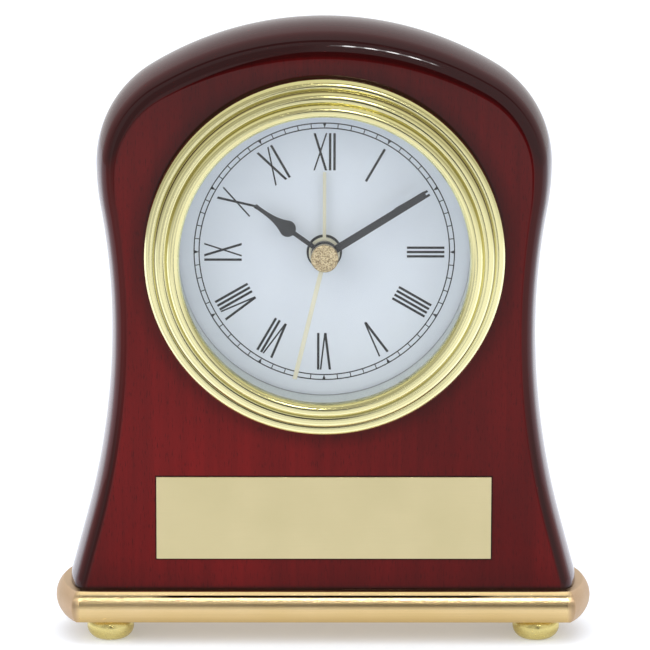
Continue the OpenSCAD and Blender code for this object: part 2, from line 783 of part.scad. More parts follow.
// Drum that holds the movement, with the battery's bay, the knobs' bores and the sound holes
module rear_housing() {
    door_x = bay_x + door_rim;
    door_y = [bay_y[0] - door_rim, bay_y[1] + door_rim];
    bay_h = bay_front + bay_wall - floor_z;
    color([0.16, 0.16, 0.17]) place_insert() difference() {
        union() {
            ring(housing_r, housing_in_r, housing_z, dial_z0, $fn = 128);
            translate([0, 0, housing_z]) cylinder(r = housing_r, h = floor_t, $fn = 128);
            for (a = post_dirs) pin(polar(post_reach, a), post_r, housing_z, front_plate_z);
            intersection() {
                translate([-bay_x - bay_wall, bay_y[0] - bay_wall, floor_z])
                    cube([2 * (bay_x + bay_wall), bay_y[1] - bay_y[0] + 2 * bay_wall, bay_h]);
                translate([0, 0, floor_z]) cylinder(r = housing_r, h = bay_h, $fn = 128);
            }
        }
        translate([-bay_x, bay_y[0], housing_z - 1])
            cube([2 * bay_x, bay_y[1] - bay_y[0], bay_front - housing_z + 1]);
        translate([-door_x, door_y[0], housing_z - 1])
            cube([2 * door_x, door_y[1] - door_y[0], floor_t + 1]);
        for (p = [time_at, alarm_at]) pin(p, shaft_r + run_gap, housing_z - 1, floor_z + 1);
        for (a = post_dirs) pin(polar(post_reach, a), housing_screw_r + fit_gap,
            dial_z0 - housing_screw_l - 1, front_plate_z + 1);
        translate([switch_at[0] - switch_stem[0] / 2 - move_gap,
            switch_at[1] - switch_stem[1] / 2 - move_gap, housing_z - 1])
            cube([switch_stem[0] + switch_travel + 2 * move_gap,
                switch_stem[1] + 2 * move_gap, floor_t + 2]);
        for (i = [0:6])
            pin(buzzer_at + (i == 0 ? [0, 0] : polar(sound_hole_ring_r, 60 * i)), sound_hole_r,
                housing_z - 1, floor_z + 1);
    }
}

module battery_door() {
    x = bay_x + door_rim - door_gap;
    y = [bay_y[0] - door_rim + door_gap, bay_y[1] + door_rim - door_gap];
    color([0.2, 0.2, 0.21]) place_insert() {
        translate([-x, y[0], housing_z]) cube([2 * x, y[1] - y[0], floor_t]);
        for (i = [0:grip_count - 1]) translate([-grip[0] / 2,
            battery_y + grip_step * (i - (grip_count - 1) / 2) - grip[1] / 2, housing_z - grip[2]])
            cube(grip);
    }
}

// Outline of a gear, six points a tooth
function tooth_point(r, middle, w) = polar(r, middle + w / r * 180 / PI);
function gear_outline(teeth, mod, phase, shape) =
    let (pitch = mod * teeth / 2, tip = pitch + shape[0] * mod, root = pitch - shape[1] * mod)
    [for (i = [0:teeth - 1]) let (c = phase + 360 * i / teeth)
        for (p = [[root, -shape[4]], [pitch, -shape[3]], [tip, -shape[2]],
                [tip, shape[2]], [pitch, shape[3]], [root, shape[4]]])
            tooth_point(p[0], c, p[1] * mod)];

// Gear whose front face lies at z
module gear(at, teeth, mod, phase, shape, z, t) {
    translate([at[0], at[1], z - t]) linear_extrude(t)
        polygon(gear_outline(teeth, mod, phase, shape));
}

// Wheel of the train, and the pinion that turns a wheel at its level
module wheel(at, teeth, mod, phase, level) {
    gear(at, teeth, mod, phase, wheel_tooth, level, wheel_t);
}
module pinion(at, teeth, mod, phase, level) {
    gear(at, teeth, mod, phase, leaf_tooth, level + 0.2, wheel_t + 0.4);
}

module rotor() {
    color([0.35, 0.35, 0.38]) place_insert() {
        pinion(rotor_at, rotor_teeth, rotor_mod, rotor_phase, intermediate_level);
        pin(rotor_at, arbor_r, bridge_z, middle_plate_z + plate_gauge);
        pin(rotor_at, magnet_r, intermediate_level + 0.4, intermediate_level + 0.4 + magnet_t);
    }
}

module intermediate_wheel() {
    color([0.9, 0.9, 0.85]) place_insert() {
        wheel(intermediate_at, intermediate_teeth, rotor_mod, intermediate_phase,
            intermediate_level);
        pinion(intermediate_at, intermediate_leaves, second_mod, 0, second_level);
        pin(intermediate_at, arbor_r, bridge_z, middle_plate_z + plate_gauge);
    }
}

module second_wheel() {
    color([0.9, 0.85, 0.6]) place_insert() {
        wheel(hands_at, second_teeth, second_mod, second_phase, second_level);
        pinion(hands_at, second_leaves, third_mod, 0, third_level);
        pin(hands_at, second_arbor_r, bridge_z, cap_top_z - cap_face_t - 0.1);
    }
}

module third_wheel() {
    color([0.9, 0.9, 0.85]) place_insert() {
        wheel(third_at, third_teeth, third_mod, third_phase, third_level);
        pinion(third_at, third_leaves, centre_mod, 0, centre_level);
        pin(third_at, arbor_r, bridge_z, dial_z0 - pivot_inset);
    }
}

module centre_wheel() {
    color([0.85, 0.7, 0.4]) place_insert() difference() {
        union() {
            wheel(hands_at, centre_teeth, centre_mod, centre_phase, centre_level);
            pin(hands_at, 2 * cannon_r, middle_plate_z + plate_gauge + move_gap, centre_level);
        }
        pin(hands_at, cannon_r + run_gap, middle_plate_z, centre_level + 1);
    }
}

module cannon_pinion() {
    color([0.85, 0.7, 0.4]) place_insert() difference() {
        union() {
            pinion(hands_at, cannon_leaves, minute_mod, 0, minute_level);
            pin(hands_at, cannon_r, middle_plate_z, minute_hand_z + 1);
        }
        pin(hands_at, cannon_in_r, middle_plate_z - 1, minute_hand_z + 2);
    }
}

module minute_wheel() {
    color([0.9, 0.9, 0.85]) place_insert() {
        wheel(minute_at, minute_teeth, minute_mod, minute_phase, minute_level);
        pinion(minute_at, minute_leaves, hour_mod, 0, hour_level);
        pin(minute_at, arbor_r, middle_plate_z, dial_z0 - pivot_inset);
    }
}

module hour_wheel() {
    color([0.9, 0.9, 0.85]) place_insert() difference() {
        union() {
            wheel(hands_at, hour_teeth, hour_mod, hour_phase, hour_level);
            pin(hands_at, hour_r, hour_level - wheel_t, hour_hand_z + 1.2);
        }
        pin(hands_at, hour_in_r, hour_level - wheel_t - 1, hour_hand_z + 2);
    }
}

module alarm_wheel() {
    color([0.9, 0.9, 0.85]) place_insert() difference() {
        union() {
            wheel(hands_at, alarm_teeth, alarm_mod, 0, alarm_level);
            pin(hands_at, alarm_r, alarm_level - wheel_t, alarm_hand_z + 0.9);
        }
        pin(hands_at, alarm_in_r, alarm_level - wheel_t - 1, alarm_hand_z + 2);
    }
}

// Shaft with its pinion, from the front plate to the knob behind the housing
module setting_shaft(at, teeth, mod, phase, level) {
    pinion(at, teeth, mod, phase, level);
    pin(at, shaft_r, housing_z - move_gap - knob_l + knob_end_t + 0.2, dial_z0 - pivot_inset);
}

// Fluted knob behind the housing
module knob(at) {
    translate([at[0], at[1], housing_z - move_gap - knob_l]) difference() {
        cylinder(r = knob_r, h = knob_l);
        for (i = [1:knob_flutes])
            translate(concat(polar(knob_r + flute_r / 3, 360 * i / knob_flutes), [-1]))
                cylinder(r = flute_r, h = knob_l - 0.2, $fn = 24);
        translate([0, 0, knob_end_t]) cylinder(r = shaft_r + press_gap, h = knob_l);
    }
}

module time_shaft() {
    color([0.9, 0.9, 0.85]) place_insert()
        setting_shaft(time_at, time_leaves, time_mod, time_phase, minute_level);
}
module time_knob() { color([0.2, 0.2, 0.21]) place_insert() knob(time_at); }
module alarm_shaft() {
    color([0.9, 0.9, 0.85]) place_insert()
        setting_shaft(alarm_at, alarm_leaves, alarm_mod, alarm_leaf_phase, alarm_level);
}
module alarm_knob() { color([0.2, 0.2, 0.21]) place_insert() knob(alarm_at); }

// Straight or tapering hand along +y, and the hub of a hand round a tube
module hand_blade(root_w, tip_w, length, z) {
    translate([0, 0, z]) linear_extrude(hand_t)
        polygon([[-root_w / 2, 0], [root_w / 2, 0], [tip_w / 2, length], [-tip_w / 2, length]]);
}
module hub(r, bore, z0, z1) {
    ring(r, bore + press_gap, z0, z1);
}

// Carries a hand to the angle that it shows
module show(angle) {
    place_insert() rotate([0, 0, -angle]) children();
}

module alarm_hand() {
    color([0.82, 0.83, 0.74]) show(alarm_hand_angle) {
        hub(alarm_hub_r, alarm_r, alarm_hand_z - 1, alarm_hand_z + 0.9);
        difference() {
            hand_blade(alarm_hand_w, alarm_hand_w, alarm_hand_l, alarm_hand_z);
            pin(hands_at, alarm_hub_r - hub_lap, alarm_hand_z - 1, alarm_hand_z + 1);
        }
    }
}

// Flat outline of the hour hand: a stem, a pear that narrows along tangents, and a thin tip
module hour_hand_outline() {
    tip_r = hour_tip_w / 2;
    lean = asin((pear_r - tip_r) / (hour_neck_l - hour_pear_l));
    translate([-hour_stem_w / 2, 0]) square([hour_stem_w, hour_pear_l]);
    translate([-tip_r, hour_pear_l]) square([hour_tip_w, hour_hand_l - hour_pear_l]);
    translate([0, hour_pear_l]) circle(pear_r);
    polygon([for (s = [-1, 1]) each
        let (big = [s * pear_r * cos(lean), hour_pear_l + pear_r * sin(lean)],
            small = [s * tip_r * cos(lean), hour_neck_l + tip_r * sin(lean)])
        s < 0 ? [big, small] : [small, big]]);
}

module hour_hand() {
    color([0.28, 0.28, 0.3]) show(hour_hand_angle) {
        hub(hour_hub_r, hour_r, hour_hand_z - 0.8, hour_hand_z + 1.2);
        difference() {
            translate([0, 0, hour_hand_z]) linear_extrude(hand_t) hour_hand_outline();
            pin(hands_at, hour_hub_r - hub_lap, hour_hand_z - 1, hour_hand_z + 1);
        }
    }
}

module minute_hand() {
    color([0.28, 0.28, 0.3]) show(minute_hand_angle) {
        hub(minute_hub_r, cannon_r, minute_hand_z - 0.8, minute_hand_z + 1);
        difference() {
            hand_blade(minute_hand_w, minute_tip_w, minute_hand_l, minute_hand_z);
            pin(hands_at, minute_hub_r - hub_lap, minute_hand_z - 1, minute_hand_z + 1);
        }
    }
}

module second_hand() {
    color([0.9, 0.88, 0.8]) show(second_hand_angle) difference() {
        union() {
            hand_blade(second_hand_w, second_hand_w, second_hand_l, second_hand_z);
            pin(hands_at, second_eye_r, second_hand_z, second_hand_z + hand_t);
        }
        pin(hands_at, second_arbor_r + press_gap, second_hand_z - 1, second_hand_z + 1);
    }
}

module hand_cap() {
    color([0.8, 0.7, 0.45]) place_insert() difference() {
        pin(hands_at, cap_r, second_hand_z + hand_t, cap_top_z);
        pin(hands_at, second_arbor_r + press_gap, second_hand_z, cap_top_z - cap_face_t);
    }
}

module stator() {
    color([0.55, 0.55, 0.58]) place_insert() translate([0, 0, stator_z - stator_t]) difference() {
        translate([stator_x[0], stator_bar_y[0], 0])
            cube([stator_x[1] - stator_x[0], core_y + core_w / 2 - stator_bar_y[0], stator_t]);
        translate([stator_x[0] + core_w, stator_bar_y[1], -1])
            cube([stator_x[1] - stator_x[0] - 2 * core_w,
                core_y - core_w / 2 - stator_bar_y[1], stator_t + 2]);
        pin(rotor_at, magnet_r + 0.4, -1, stator_t + 1);
        pin(intermediate_at, second_mod * intermediate_leaves / 2 + 1, -1, stator_t + 1);
    }
}

// Solid drum along x between two x values, round the coil's axis
module coil_drum(r, xs) {
    translate([xs[0], core_y, coil_z]) rotate([0, 90, 0]) cylinder(r = r, h = xs[1] - xs[0]);
}

module coil_bobbin() {
    color([0.9, 0.9, 0.9]) place_insert() difference() {
        union() {
            coil_drum(bobbin_tube_r, coil_x);
            coil_drum(bobbin_r, [coil_x[0], coil_x[0] + bobbin_wall]);
            coil_drum(bobbin_r, [coil_x[1] - bobbin_wall, coil_x[1]]);
        }
        translate([coil_x[0] - 1, core_y - core_w / 2 - fit_gap, coil_z - stator_t / 2 - fit_gap])
            cube([coil_x[1] - coil_x[0] + 2, core_w + 2 * fit_gap, stator_t + 2 * fit_gap]);
    }
}

module coil_winding() {
    xs = [coil_x[0] + bobbin_wall + fit_gap, coil_x[1] - bobbin_wall - fit_gap];
    color([0.7, 0.35, 0.15]) place_insert() difference() {
        coil_drum(winding_r, xs);
        coil_drum(bobbin_tube_r + fit_gap, [xs[0] - 1, xs[1] + 1]);
    }
}

module circuit_board() {
    color([0.1, 0.35, 0.2]) place_insert() {
        translate([board_x[0], board_y[0], board_z - board_t])
            cube([board_x[1] - board_x[0], board_y[1] - board_y[0], board_t]);
        pin(chip_at, chip_r, board_z - board_t - chip_h, board_z - board_t);
    }
}

module quartz_crystal() {
    color("silver") place_insert()
        translate([crystal_at[0], crystal_at[1], board_z - board_t - crystal_r])
            rotate([0, 90, 0]) cylinder(r = crystal_r, h = crystal_l);
}

module buzzer() {
    color([0.1, 0.1, 0.1]) place_insert() difference() {
        pin(buzzer_at, buzzer_r, floor_z, floor_z + buzzer_t);
        pin(buzzer_at, buzzer_port_r, floor_z - 1, floor_z + 1);
    }
}

module alarm_switch() {
    stem_h = floor_t + 2 * switch_lift;
    color([0.8, 0.8, 0.8]) place_insert()
        translate([switch_at[0], switch_at[1], housing_z - switch_lift]) {
            translate([-switch_stem[0] / 2, -switch_stem[1] / 2, 0])
                cube([switch_stem[0], switch_stem[1], stem_h]);
            translate([-switch_button[0] / 2, -switch_button[1] / 2, -switch_button[2]])
                cube(switch_button);
            translate([-switch_flange[0] / 2, -switch_flange[1] / 2, stem_h]) cube(switch_flange);
        }
}

module battery() {
    color([0.75, 0.6, 0.3]) place_insert() translate([-battery_l / 2, battery_y, battery_z])
        rotate([0, 90, 0]) {
            cylinder(r = battery_r, h = battery_l - battery_nub_l);
            cylinder(r = battery_nub_r, h = battery_l);
        }
}

// Contact blade at one end of the bay, side 1 or -1, with a boss that meets the battery
module contact(side, boss_r) {
    back = bay_x - contact_gap;
    boss_l = back - contact_t - battery_l / 2 - contact_gap / 2;
    mirror([side < 0 ? 1 : 0, 0, 0]) {
        translate([back - contact_t, bay_y[0] + 1, battery_z - battery_r + 0.6])
            cube([contact_t, bay_y[1] - bay_y[0] - 2, 2 * battery_r - 1.2]);
        translate([back - contact_t - boss_l, battery_y, battery_z]) rotate([0, 90, 0])
            cylinder(r = boss_r, h = boss_l);
    }
}

module contact_plus() { color("silver") place_insert() contact(1, plus_boss_r); }
module contact_minus() { color("silver") place_insert() contact(-1, minus_boss_r); }

wooden_case();
base_plate();
foot_front_left();
foot_front_right();
foot_rear_left();
foot_rear_right();
foot_screws();
case_screws();
nameplate();
bezel();
lens();
dial_ring();
dial();
rear_housing();
rubber_band();
front_plate();
middle_plate();
rear_bridge();
bridge_screws();
housing_screws();
alarm_hand();
hour_hand();
minute_hand();
second_hand();
hand_cap();
alarm_wheel();
hour_wheel();
minute_wheel();
cannon_pinion();
centre_wheel();
third_wheel();
second_wheel();
intermediate_wheel();
rotor();
stator();
coil_bobbin();
coil_winding();
circuit_board();
quartz_crystal();
buzzer();
time_shaft();
time_knob();
alarm_shaft();
alarm_knob();
alarm_switch();
battery();
contact_plus();
contact_minus();
battery_door();
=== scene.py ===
import json
import math
import bpy
import bmesh
from mathutils import Euler, Matrix, Vector


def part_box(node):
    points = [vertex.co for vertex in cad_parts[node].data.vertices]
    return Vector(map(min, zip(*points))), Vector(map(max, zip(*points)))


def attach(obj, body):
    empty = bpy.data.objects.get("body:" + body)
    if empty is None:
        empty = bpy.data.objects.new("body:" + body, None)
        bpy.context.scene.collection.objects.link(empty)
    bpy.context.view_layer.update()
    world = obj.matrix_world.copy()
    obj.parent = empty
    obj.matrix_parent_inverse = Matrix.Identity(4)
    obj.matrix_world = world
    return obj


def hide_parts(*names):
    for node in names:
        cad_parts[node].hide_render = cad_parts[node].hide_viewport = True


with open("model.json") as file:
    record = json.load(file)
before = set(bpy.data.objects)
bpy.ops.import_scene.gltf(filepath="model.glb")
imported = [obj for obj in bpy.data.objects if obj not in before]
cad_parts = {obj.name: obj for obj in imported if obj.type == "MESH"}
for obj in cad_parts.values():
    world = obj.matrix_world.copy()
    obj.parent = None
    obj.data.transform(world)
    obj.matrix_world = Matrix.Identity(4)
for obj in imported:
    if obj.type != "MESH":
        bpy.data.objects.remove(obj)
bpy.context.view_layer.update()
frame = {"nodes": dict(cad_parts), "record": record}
nodes = frame["nodes"]

MM, M = 0.001, 1000  # a millimetre in metres, and a metre in millimetres

# Sizes in millimetres and angles in degrees, as in the part's source but for the minute hand's angle
CLOCK_H, CASE_T = 166.5, 28.6
SHOULDER_W, SHOULDER_DROP, SHOULDER_R, LOWER_SHOULDER_R = 120.8, 38.9, 30.5, 66.0
WAIST_W, WAIST_RISE, FLARE_R, FLARE_ANGLE, TOE_R = 113.0, 69.9, 199.0, 15.2, 12.0
CROWN_BULGE, FRONT_EDGE_R, BACK_EDGE_R, SIDE_EASE, TOP_EASE = 3.4, 5.5, 3.0, 0.7, 1.37
BASE_T, BASE_LEDGE, BASE_W, BASE_BOW, BASE_BULGE = 8.6, 2.2, 131.8, 4.1, 1.87
FOOT_H, FOOT_R, FOOT_SWELL_R, FOOT_FULL_H = 5.9, 6.3, 3.6, 3.5
FOOT_SPAN_X, FOOT_SPAN_Y, FOOT_SCREW_R, FOOT_HEAD_R = 114.0, 17.0, 1.5, 2.625
PLATE_W, PLATE_H, PLATE_T = 88.9, 22.2, 0.6
BORE_R, BEZEL_R, LIP_R, BEZEL_PROUD, LIP_DROP = 44.6, 47.5, 38.0, 10.4, 3.7
OUTER_BEAD_R, MIDDLE_BEAD_R, INNER_BEAD_R, OUTER_BEAD_Z = 2.1, 2.2, 1.7, 3.4
LENS_R, LENS_T, DIAL_DEPTH, RING_T = 39.7, 1.6, 6.0, 1.2
BARREL_R, HOUSING_R, SEAT_R, BARREL_L = 43.6, 42.35, 39.8, 10.0
HAND_T, FOOT_HEAD_SEAT, RIM_T, RIM_IN = 0.4, 1.95, 0.7, 0.4
DIAL_T, MIDDLE_LIFT, SLACK = 0.4, 0.3, 0.05
ALARM_Z, HOUR_Z, MINUTE_Z, SECOND_Z = -4.5, -2.2, 0.2, 2.0
HOUR_ANGLE, MINUTE_ANGLE, SECOND_ANGLE, ALARM_ANGLE = 305.5, 58.0, 193.5, 0.0

# What only the visible pieces have: rounds and chamfers, and steps round a turn or along an arc
BASE_ROUND, PLATE_ROUND, HAND_ROUND = 0.3, 0.14, 0.08
FOOT_EDGE, BEZEL_EDGE, GLASS_EDGE, RING_EDGE, HUB_EDGE = 0.15, 0.12, 0.15, 0.2, 0.12
BEZEL_TURN, RING_TURN, TRACK_TURN, GLASS_TURN, SMALL_TURN = 224, 192, 180, 128, 96
TOE_STEPS, STRAIGHT_STEPS, FLARE_STEPS, WAIST_STEPS = 8, 4, 30, 16
LOWER_SHOULDER_STEPS, SHOULDER_STEPS, TOP_STEPS, UNDER_STEPS = 14, 34, 34, 24
FRONT_EDGE_STEPS, CROWN_STEPS, BACK_EDGE_STEPS = 14, 16, 10
BASE_LEVELS, BASE_FRONT_STEPS, BASE_END_STEPS = 20, 40, 16
FOOT_STEPS, BEAD_STEPS, CAP_STEPS = 26, 18, 8
BEAD_START, BEVEL_FROM = -40, 30  # where the outer bead starts, and the least edge angle that is rounded
MERGE_M, ON_AXIS = 1e-7, 1e-6  # one vertex within this, in metres, and a radius that counts as none


def centre_of(node, axis):
    """Middle of a CAD node along an axis, in millimetres."""
    low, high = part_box(node)
    return M * (low[axis] + high[axis]) / 2


FACE_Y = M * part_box("nameplate")[1][1]
STAND_Y = FACE_Y + CASE_T / 2
BASE_TOP = FOOT_H + BASE_T
DIAL_Z, PLATE_Z = centre_of("dial", 2), centre_of("nameplate", 2)
LIP_Z = BEZEL_PROUD - LIP_DROP
LENS_Z = LIP_Z - LENS_T
DIAL_FACE = -DIAL_DEPTH
DIAL_BACK = DIAL_FACE - DIAL_T


def metres(x, y, z):
    """A point of the shared frame, from millimetres to metres."""
    return (x * MM, y * MM, z * MM)


def insert(x, y, z):
    """A point of the insert's frame, whose z points out of the dial at the reader."""
    return metres(x, FACE_Y - z, DIAL_Z + y)


def polar(r, degrees):
    a = math.radians(degrees)
    return (r * math.cos(a), r * math.sin(a))


def linear(rgb):
    """A colour seen on screen, 0 to 255, as the linear values that shaders take."""
    out = []
    for c in rgb:
        c = c / 255
        out.append(c / 12.92 if c <= 0.04045 else ((c + 0.055) / 1.055) ** 2.4)
    return tuple(out) + (1.0,)


def piece(name, verts, faces, mats, body, stands_for=(), sharp=35, bevel=0.0, face_mats=None,
          segments=2):
    """A new mesh on a body. Its edges sharper than the given angle stay crisp, or get a small round."""
    mesh = bpy.data.meshes.new(name)
    mesh.from_pydata([Vector(v) for v in verts], [], faces)
    bm = bmesh.new()
    bm.from_mesh(mesh)
    bmesh.ops.remove_doubles(bm, verts=bm.verts, dist=MERGE_M)
    bmesh.ops.recalc_face_normals(bm, faces=bm.faces)
    bm.to_mesh(mesh)
    bm.free()
    mats = mats if isinstance(mats, (list, tuple)) else [mats]
    for m in mats:
        mesh.materials.append(m)
    if face_mats:
        for f in mesh.polygons:
            f.material_index = face_mats(f)
    mesh.polygons.foreach_set("use_smooth", [True] * len(mesh.polygons))
    mesh.set_sharp_from_angle(angle=math.radians(sharp))
    obj = bpy.data.objects.new(name, mesh)
    bpy.context.scene.collection.objects.link(obj)
    if bevel:
        mod = obj.modifiers.new("edge", "BEVEL")
        mod.width = bevel * MM
        mod.segments = segments
        mod.limit_method = "ANGLE"
        mod.angle_limit = math.radians(BEVEL_FROM)
        mod.harden_normals = True
    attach(obj, body)
    if stands_for:
        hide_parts(*stands_for)


def lathe(profile, steps, place, closed=True):
    """Turns a profile of (radius, height) about the local z axis."""
    verts, rings = [], []
    for r, z in profile:
        if r < ON_AXIS:
            rings.append([len(verts)])
            verts.append(place(0, 0, z))
        else:
            rings.append(list(range(len(verts), len(verts) + steps)))
            for i in range(steps):
                x, y = polar(r, 360 * i / steps)
                verts.append(place(x, y, z))
    faces = []
    for a, b in zip(rings, rings[1:] + (rings[:1] if closed else [])):
        for i in range(steps):
            j = (i + 1) % steps
            if len(a) > 1 and len(b) > 1:
                faces.append((a[i], a[j], b[j], b[i]))
            elif len(a) > 1:
                faces.append((a[i], a[j], b[0]))
            elif len(b) > 1:
                faces.append((a[0], b[j], b[i]))
    return verts, faces


def prism(points, z0, z1, place):
    """A flat outline given thickness between two heights."""
    n = len(points)
    verts = [place(x, y, z0) for x, y in points] + [place(x, y, z1) for x, y in points]
    faces = [tuple(range(n)), tuple(range(2 * n - 1, n - 1, -1))]
    faces += [(i, (i + 1) % n, n + (i + 1) % n, n + i) for i in range(n)]
    return verts, faces


def join(shapes):
    """Several (verts, faces) lists as one."""
    verts, faces = [], []
    for v, f in shapes:
        k = len(verts)
        verts += v
        faces += [tuple(i + k for i in face) for face in f]
    return verts, faces


def arc(cx, cy, r, a0, a1, steps):
    return [(cx + r * math.cos(math.radians(a0 + (a1 - a0) * i / steps)),
             cy + r * math.sin(math.radians(a0 + (a1 - a0) * i / steps))) for i in range(steps + 1)]


def groove(a, b):
    """The point in front where two beads (centre radius, centre height, radius) meet."""
    dx, dz = b[0] - a[0], b[1] - a[1]
    d = math.hypot(dx, dz)
    along = (a[2] ** 2 - b[2] ** 2 + d * d) / (2 * d)
    off = math.sqrt(max(a[2] ** 2 - along ** 2, 0))
    ends = [(a[0] + (along * dx - side * off * dz) / d, a[1] + (along * dz + side * off * dx) / d)
            for side in (-1, 1)]
    return max(ends, key=lambda p: p[0] + p[1])


# Beads of the bezel: centre radius, centre height, radius. Grooves: radius
OUTER_BEAD = (BEZEL_R - OUTER_BEAD_R, OUTER_BEAD_Z, OUTER_BEAD_R)
INNER_BEAD = (LIP_R + INNER_BEAD_R, BEZEL_PROUD - INNER_BEAD_R, INNER_BEAD_R)
MIDDLE_BEAD = ((OUTER_BEAD[0] + INNER_BEAD[0]) / 2,
               (OUTER_BEAD[1] + INNER_BEAD[1]) / 2 + MIDDLE_LIFT, MIDDLE_BEAD_R)
BEADS = (OUTER_BEAD, MIDDLE_BEAD, INNER_BEAD)
GROOVES = (groove(OUTER_BEAD, MIDDLE_BEAD)[0], groove(MIDDLE_BEAD, INNER_BEAD)[0])


# Materials

NOISE = (0.3, 0.7)  # the range that most of a noise falls in
MARK_DEPTH, GRAIN_DEPTH, HAMMER_DEPTH = 0.00002, 0.00003, 0.00012  # bumps, in metres


class Graph:
    """Short hand for adding and linking nodes of one material or of the world."""

    def __init__(self, tree):
        self.tree = tree

    def add(self, kind, **values):
        node = self.tree.nodes.new(kind)
        for key, value in values.items():
            setattr(node, key, value)
        return node

    def link(self, a, b):
        self.tree.links.new(a, b)

    def split(self, vector):
        """The x, y and z of a vector."""
        parts = self.add("ShaderNodeSeparateXYZ")
        self.link(vector, parts.inputs["Vector"])
        return parts.outputs["X"], parts.outputs["Y"], parts.outputs["Z"]

    def place(self):
        """Object coordinates in metres."""
        return self.split(self.add("ShaderNodeTexCoord").outputs["Object"])

    def normal(self):
        return self.split(self.add("ShaderNodeNewGeometry").outputs["Normal"])

    def coords(self, scale, offset=(0, 0, 0)):
        """Object coordinates stretched by a scale for each axis."""
        where = self.add("ShaderNodeTexCoord")
        stretch = self.add("ShaderNodeMapping")
        stretch.inputs["Scale"].default_value = scale
        stretch.inputs["Location"].default_value = offset
        self.link(where.outputs["Object"], stretch.inputs["Vector"])
        return stretch.outputs["Vector"]

    def noise(self, vector, detail, rough):
        n = self.add("ShaderNodeTexNoise")
        n.inputs["Scale"].default_value = 1
        n.inputs["Detail"].default_value = detail
        n.inputs["Roughness"].default_value = rough
        self.link(vector, n.inputs["Vector"])
        return n.outputs["Fac"]

    def clouds(self, density):
        """Soft patches, so many to a metre."""
        return self.noise(self.coords((density, density, density)), 2, 0.5)

    def span(self, value, low, high, to_low=0, to_high=1):
        """Maps low..high to to_low..to_high, and holds the ends beyond."""
        m = self.add("ShaderNodeMapRange")
        m.inputs["From Min"].default_value = low
        m.inputs["From Max"].default_value = high
        m.inputs["To Min"].default_value = to_low
        m.inputs["To Max"].default_value = to_high
        self.link(value, m.inputs["Value"])
        return m.outputs["Result"]

    def step(self, value, low, high):
        """A smooth rise from 0 to 1."""
        m = self.add("ShaderNodeMapRange", interpolation_type="SMOOTHSTEP")
        m.inputs["From Min"].default_value = low
        m.inputs["From Max"].default_value = high
        self.link(value, m.inputs["Value"])
        return m.outputs["Result"]

    def window(self, value, low, high, blur):
        """1 between two values and 0 outside, with soft sides."""
        rise = self.step(value, low - blur, low + blur)
        return self.times(rise, self.minus(1, self.step(value, high - blur, high + blur)))

    def math(self, op, a, b=None, clamp=False):
        m = self.add("ShaderNodeMath", operation=op, use_clamp=clamp)
        for i, v in enumerate((a, b)):
            if v is None:
                continue
            if isinstance(v, (int, float)):
                m.inputs[i].default_value = v
            else:
                self.link(v, m.inputs[i])
        return m.outputs["Value"]

    def plus(self, a, b):
        return self.math("ADD", a, b)

    def minus(self, a, b, clamp=False):
        return self.math("SUBTRACT", a, b, clamp)

    def times(self, a, b):
        return self.math("MULTIPLY", a, b)

    def larger(self, a, b):
        return self.math("MAXIMUM", a, b)

    def absolute(self, a):
        return self.math("ABSOLUTE", a)

    def length(self, a, b):
        return self.math("SQRT", self.plus(self.times(a, a), self.times(b, b)))

    def mix(self, factor, a, b):
        m = self.add("ShaderNodeMix", data_type="RGBA")
        self.link(factor, m.inputs[0])
        for i, v in ((6, a), (7, b)):
            if isinstance(v, tuple):
                m.inputs[i].default_value = v
            else:
                self.link(v, m.inputs[i])
        return m.outputs[2]

    def bump(self, shader, height, strength, distance):
        b = self.add("ShaderNodeBump")
        b.inputs["Strength"].default_value = strength
        b.inputs["Distance"].default_value = distance
        self.link(height, b.inputs["Height"])
        self.link(b.outputs["Normal"], shader.inputs["Normal"])


def new_material(name, color, roughness, metallic=0.0):
    mat = bpy.data.materials.new(name)
    mat.use_nodes = True
    shader = mat.node_tree.nodes["Principled BSDF"]
    shader.inputs["Base Color"].default_value = color
    shader.inputs["Roughness"].default_value = roughness
    shader.inputs["Metallic"].default_value = metallic
    return mat, shader, Graph(mat.node_tree)


WOOD_MEAN, WOOD_LIGHT, WOOD_DARK = linear((100, 15, 16)), linear((120, 16, 17)), linear((88, 10, 11))
WOOD_STREAK, WOOD_PORE = linear((66, 9, 10)), linear((44, 6, 7))
# The first two colours below are painted shade on the rounded edges.
WOOD_EDGE_SHADE, WOOD_RIM_SHADE, WOOD_TOP = linear((70, 9, 9)), linear((22, 3, 3)), linear((30, 5, 5))
WOOD_SIDE, WOOD_FOOT, WOOD_SHADE = linear((40, 5, 6)), linear((40, 6, 6)), linear((20, 3, 3))
LACQUER_IOR, LACQUER_ROUGH = 1.32, 0.03
# Grain, in marks to a metre on each axis
WOOD_BANDS, WOOD_STREAKS, WOOD_PORES = (30, 30, 9), (520, 520, 14), (2800, 2800, 420)
# How far shade reaches, in metres: beside the plate, the bezel (close and wide) and above the base
PLATE_SHADE, BEZEL_CREASE, BEZEL_SHADE = (0.0002, 0.0005), 0.0011, 0.005
SEAM_SHADE, BASE_SHADE = (0.0003, 0.0012), 0.009


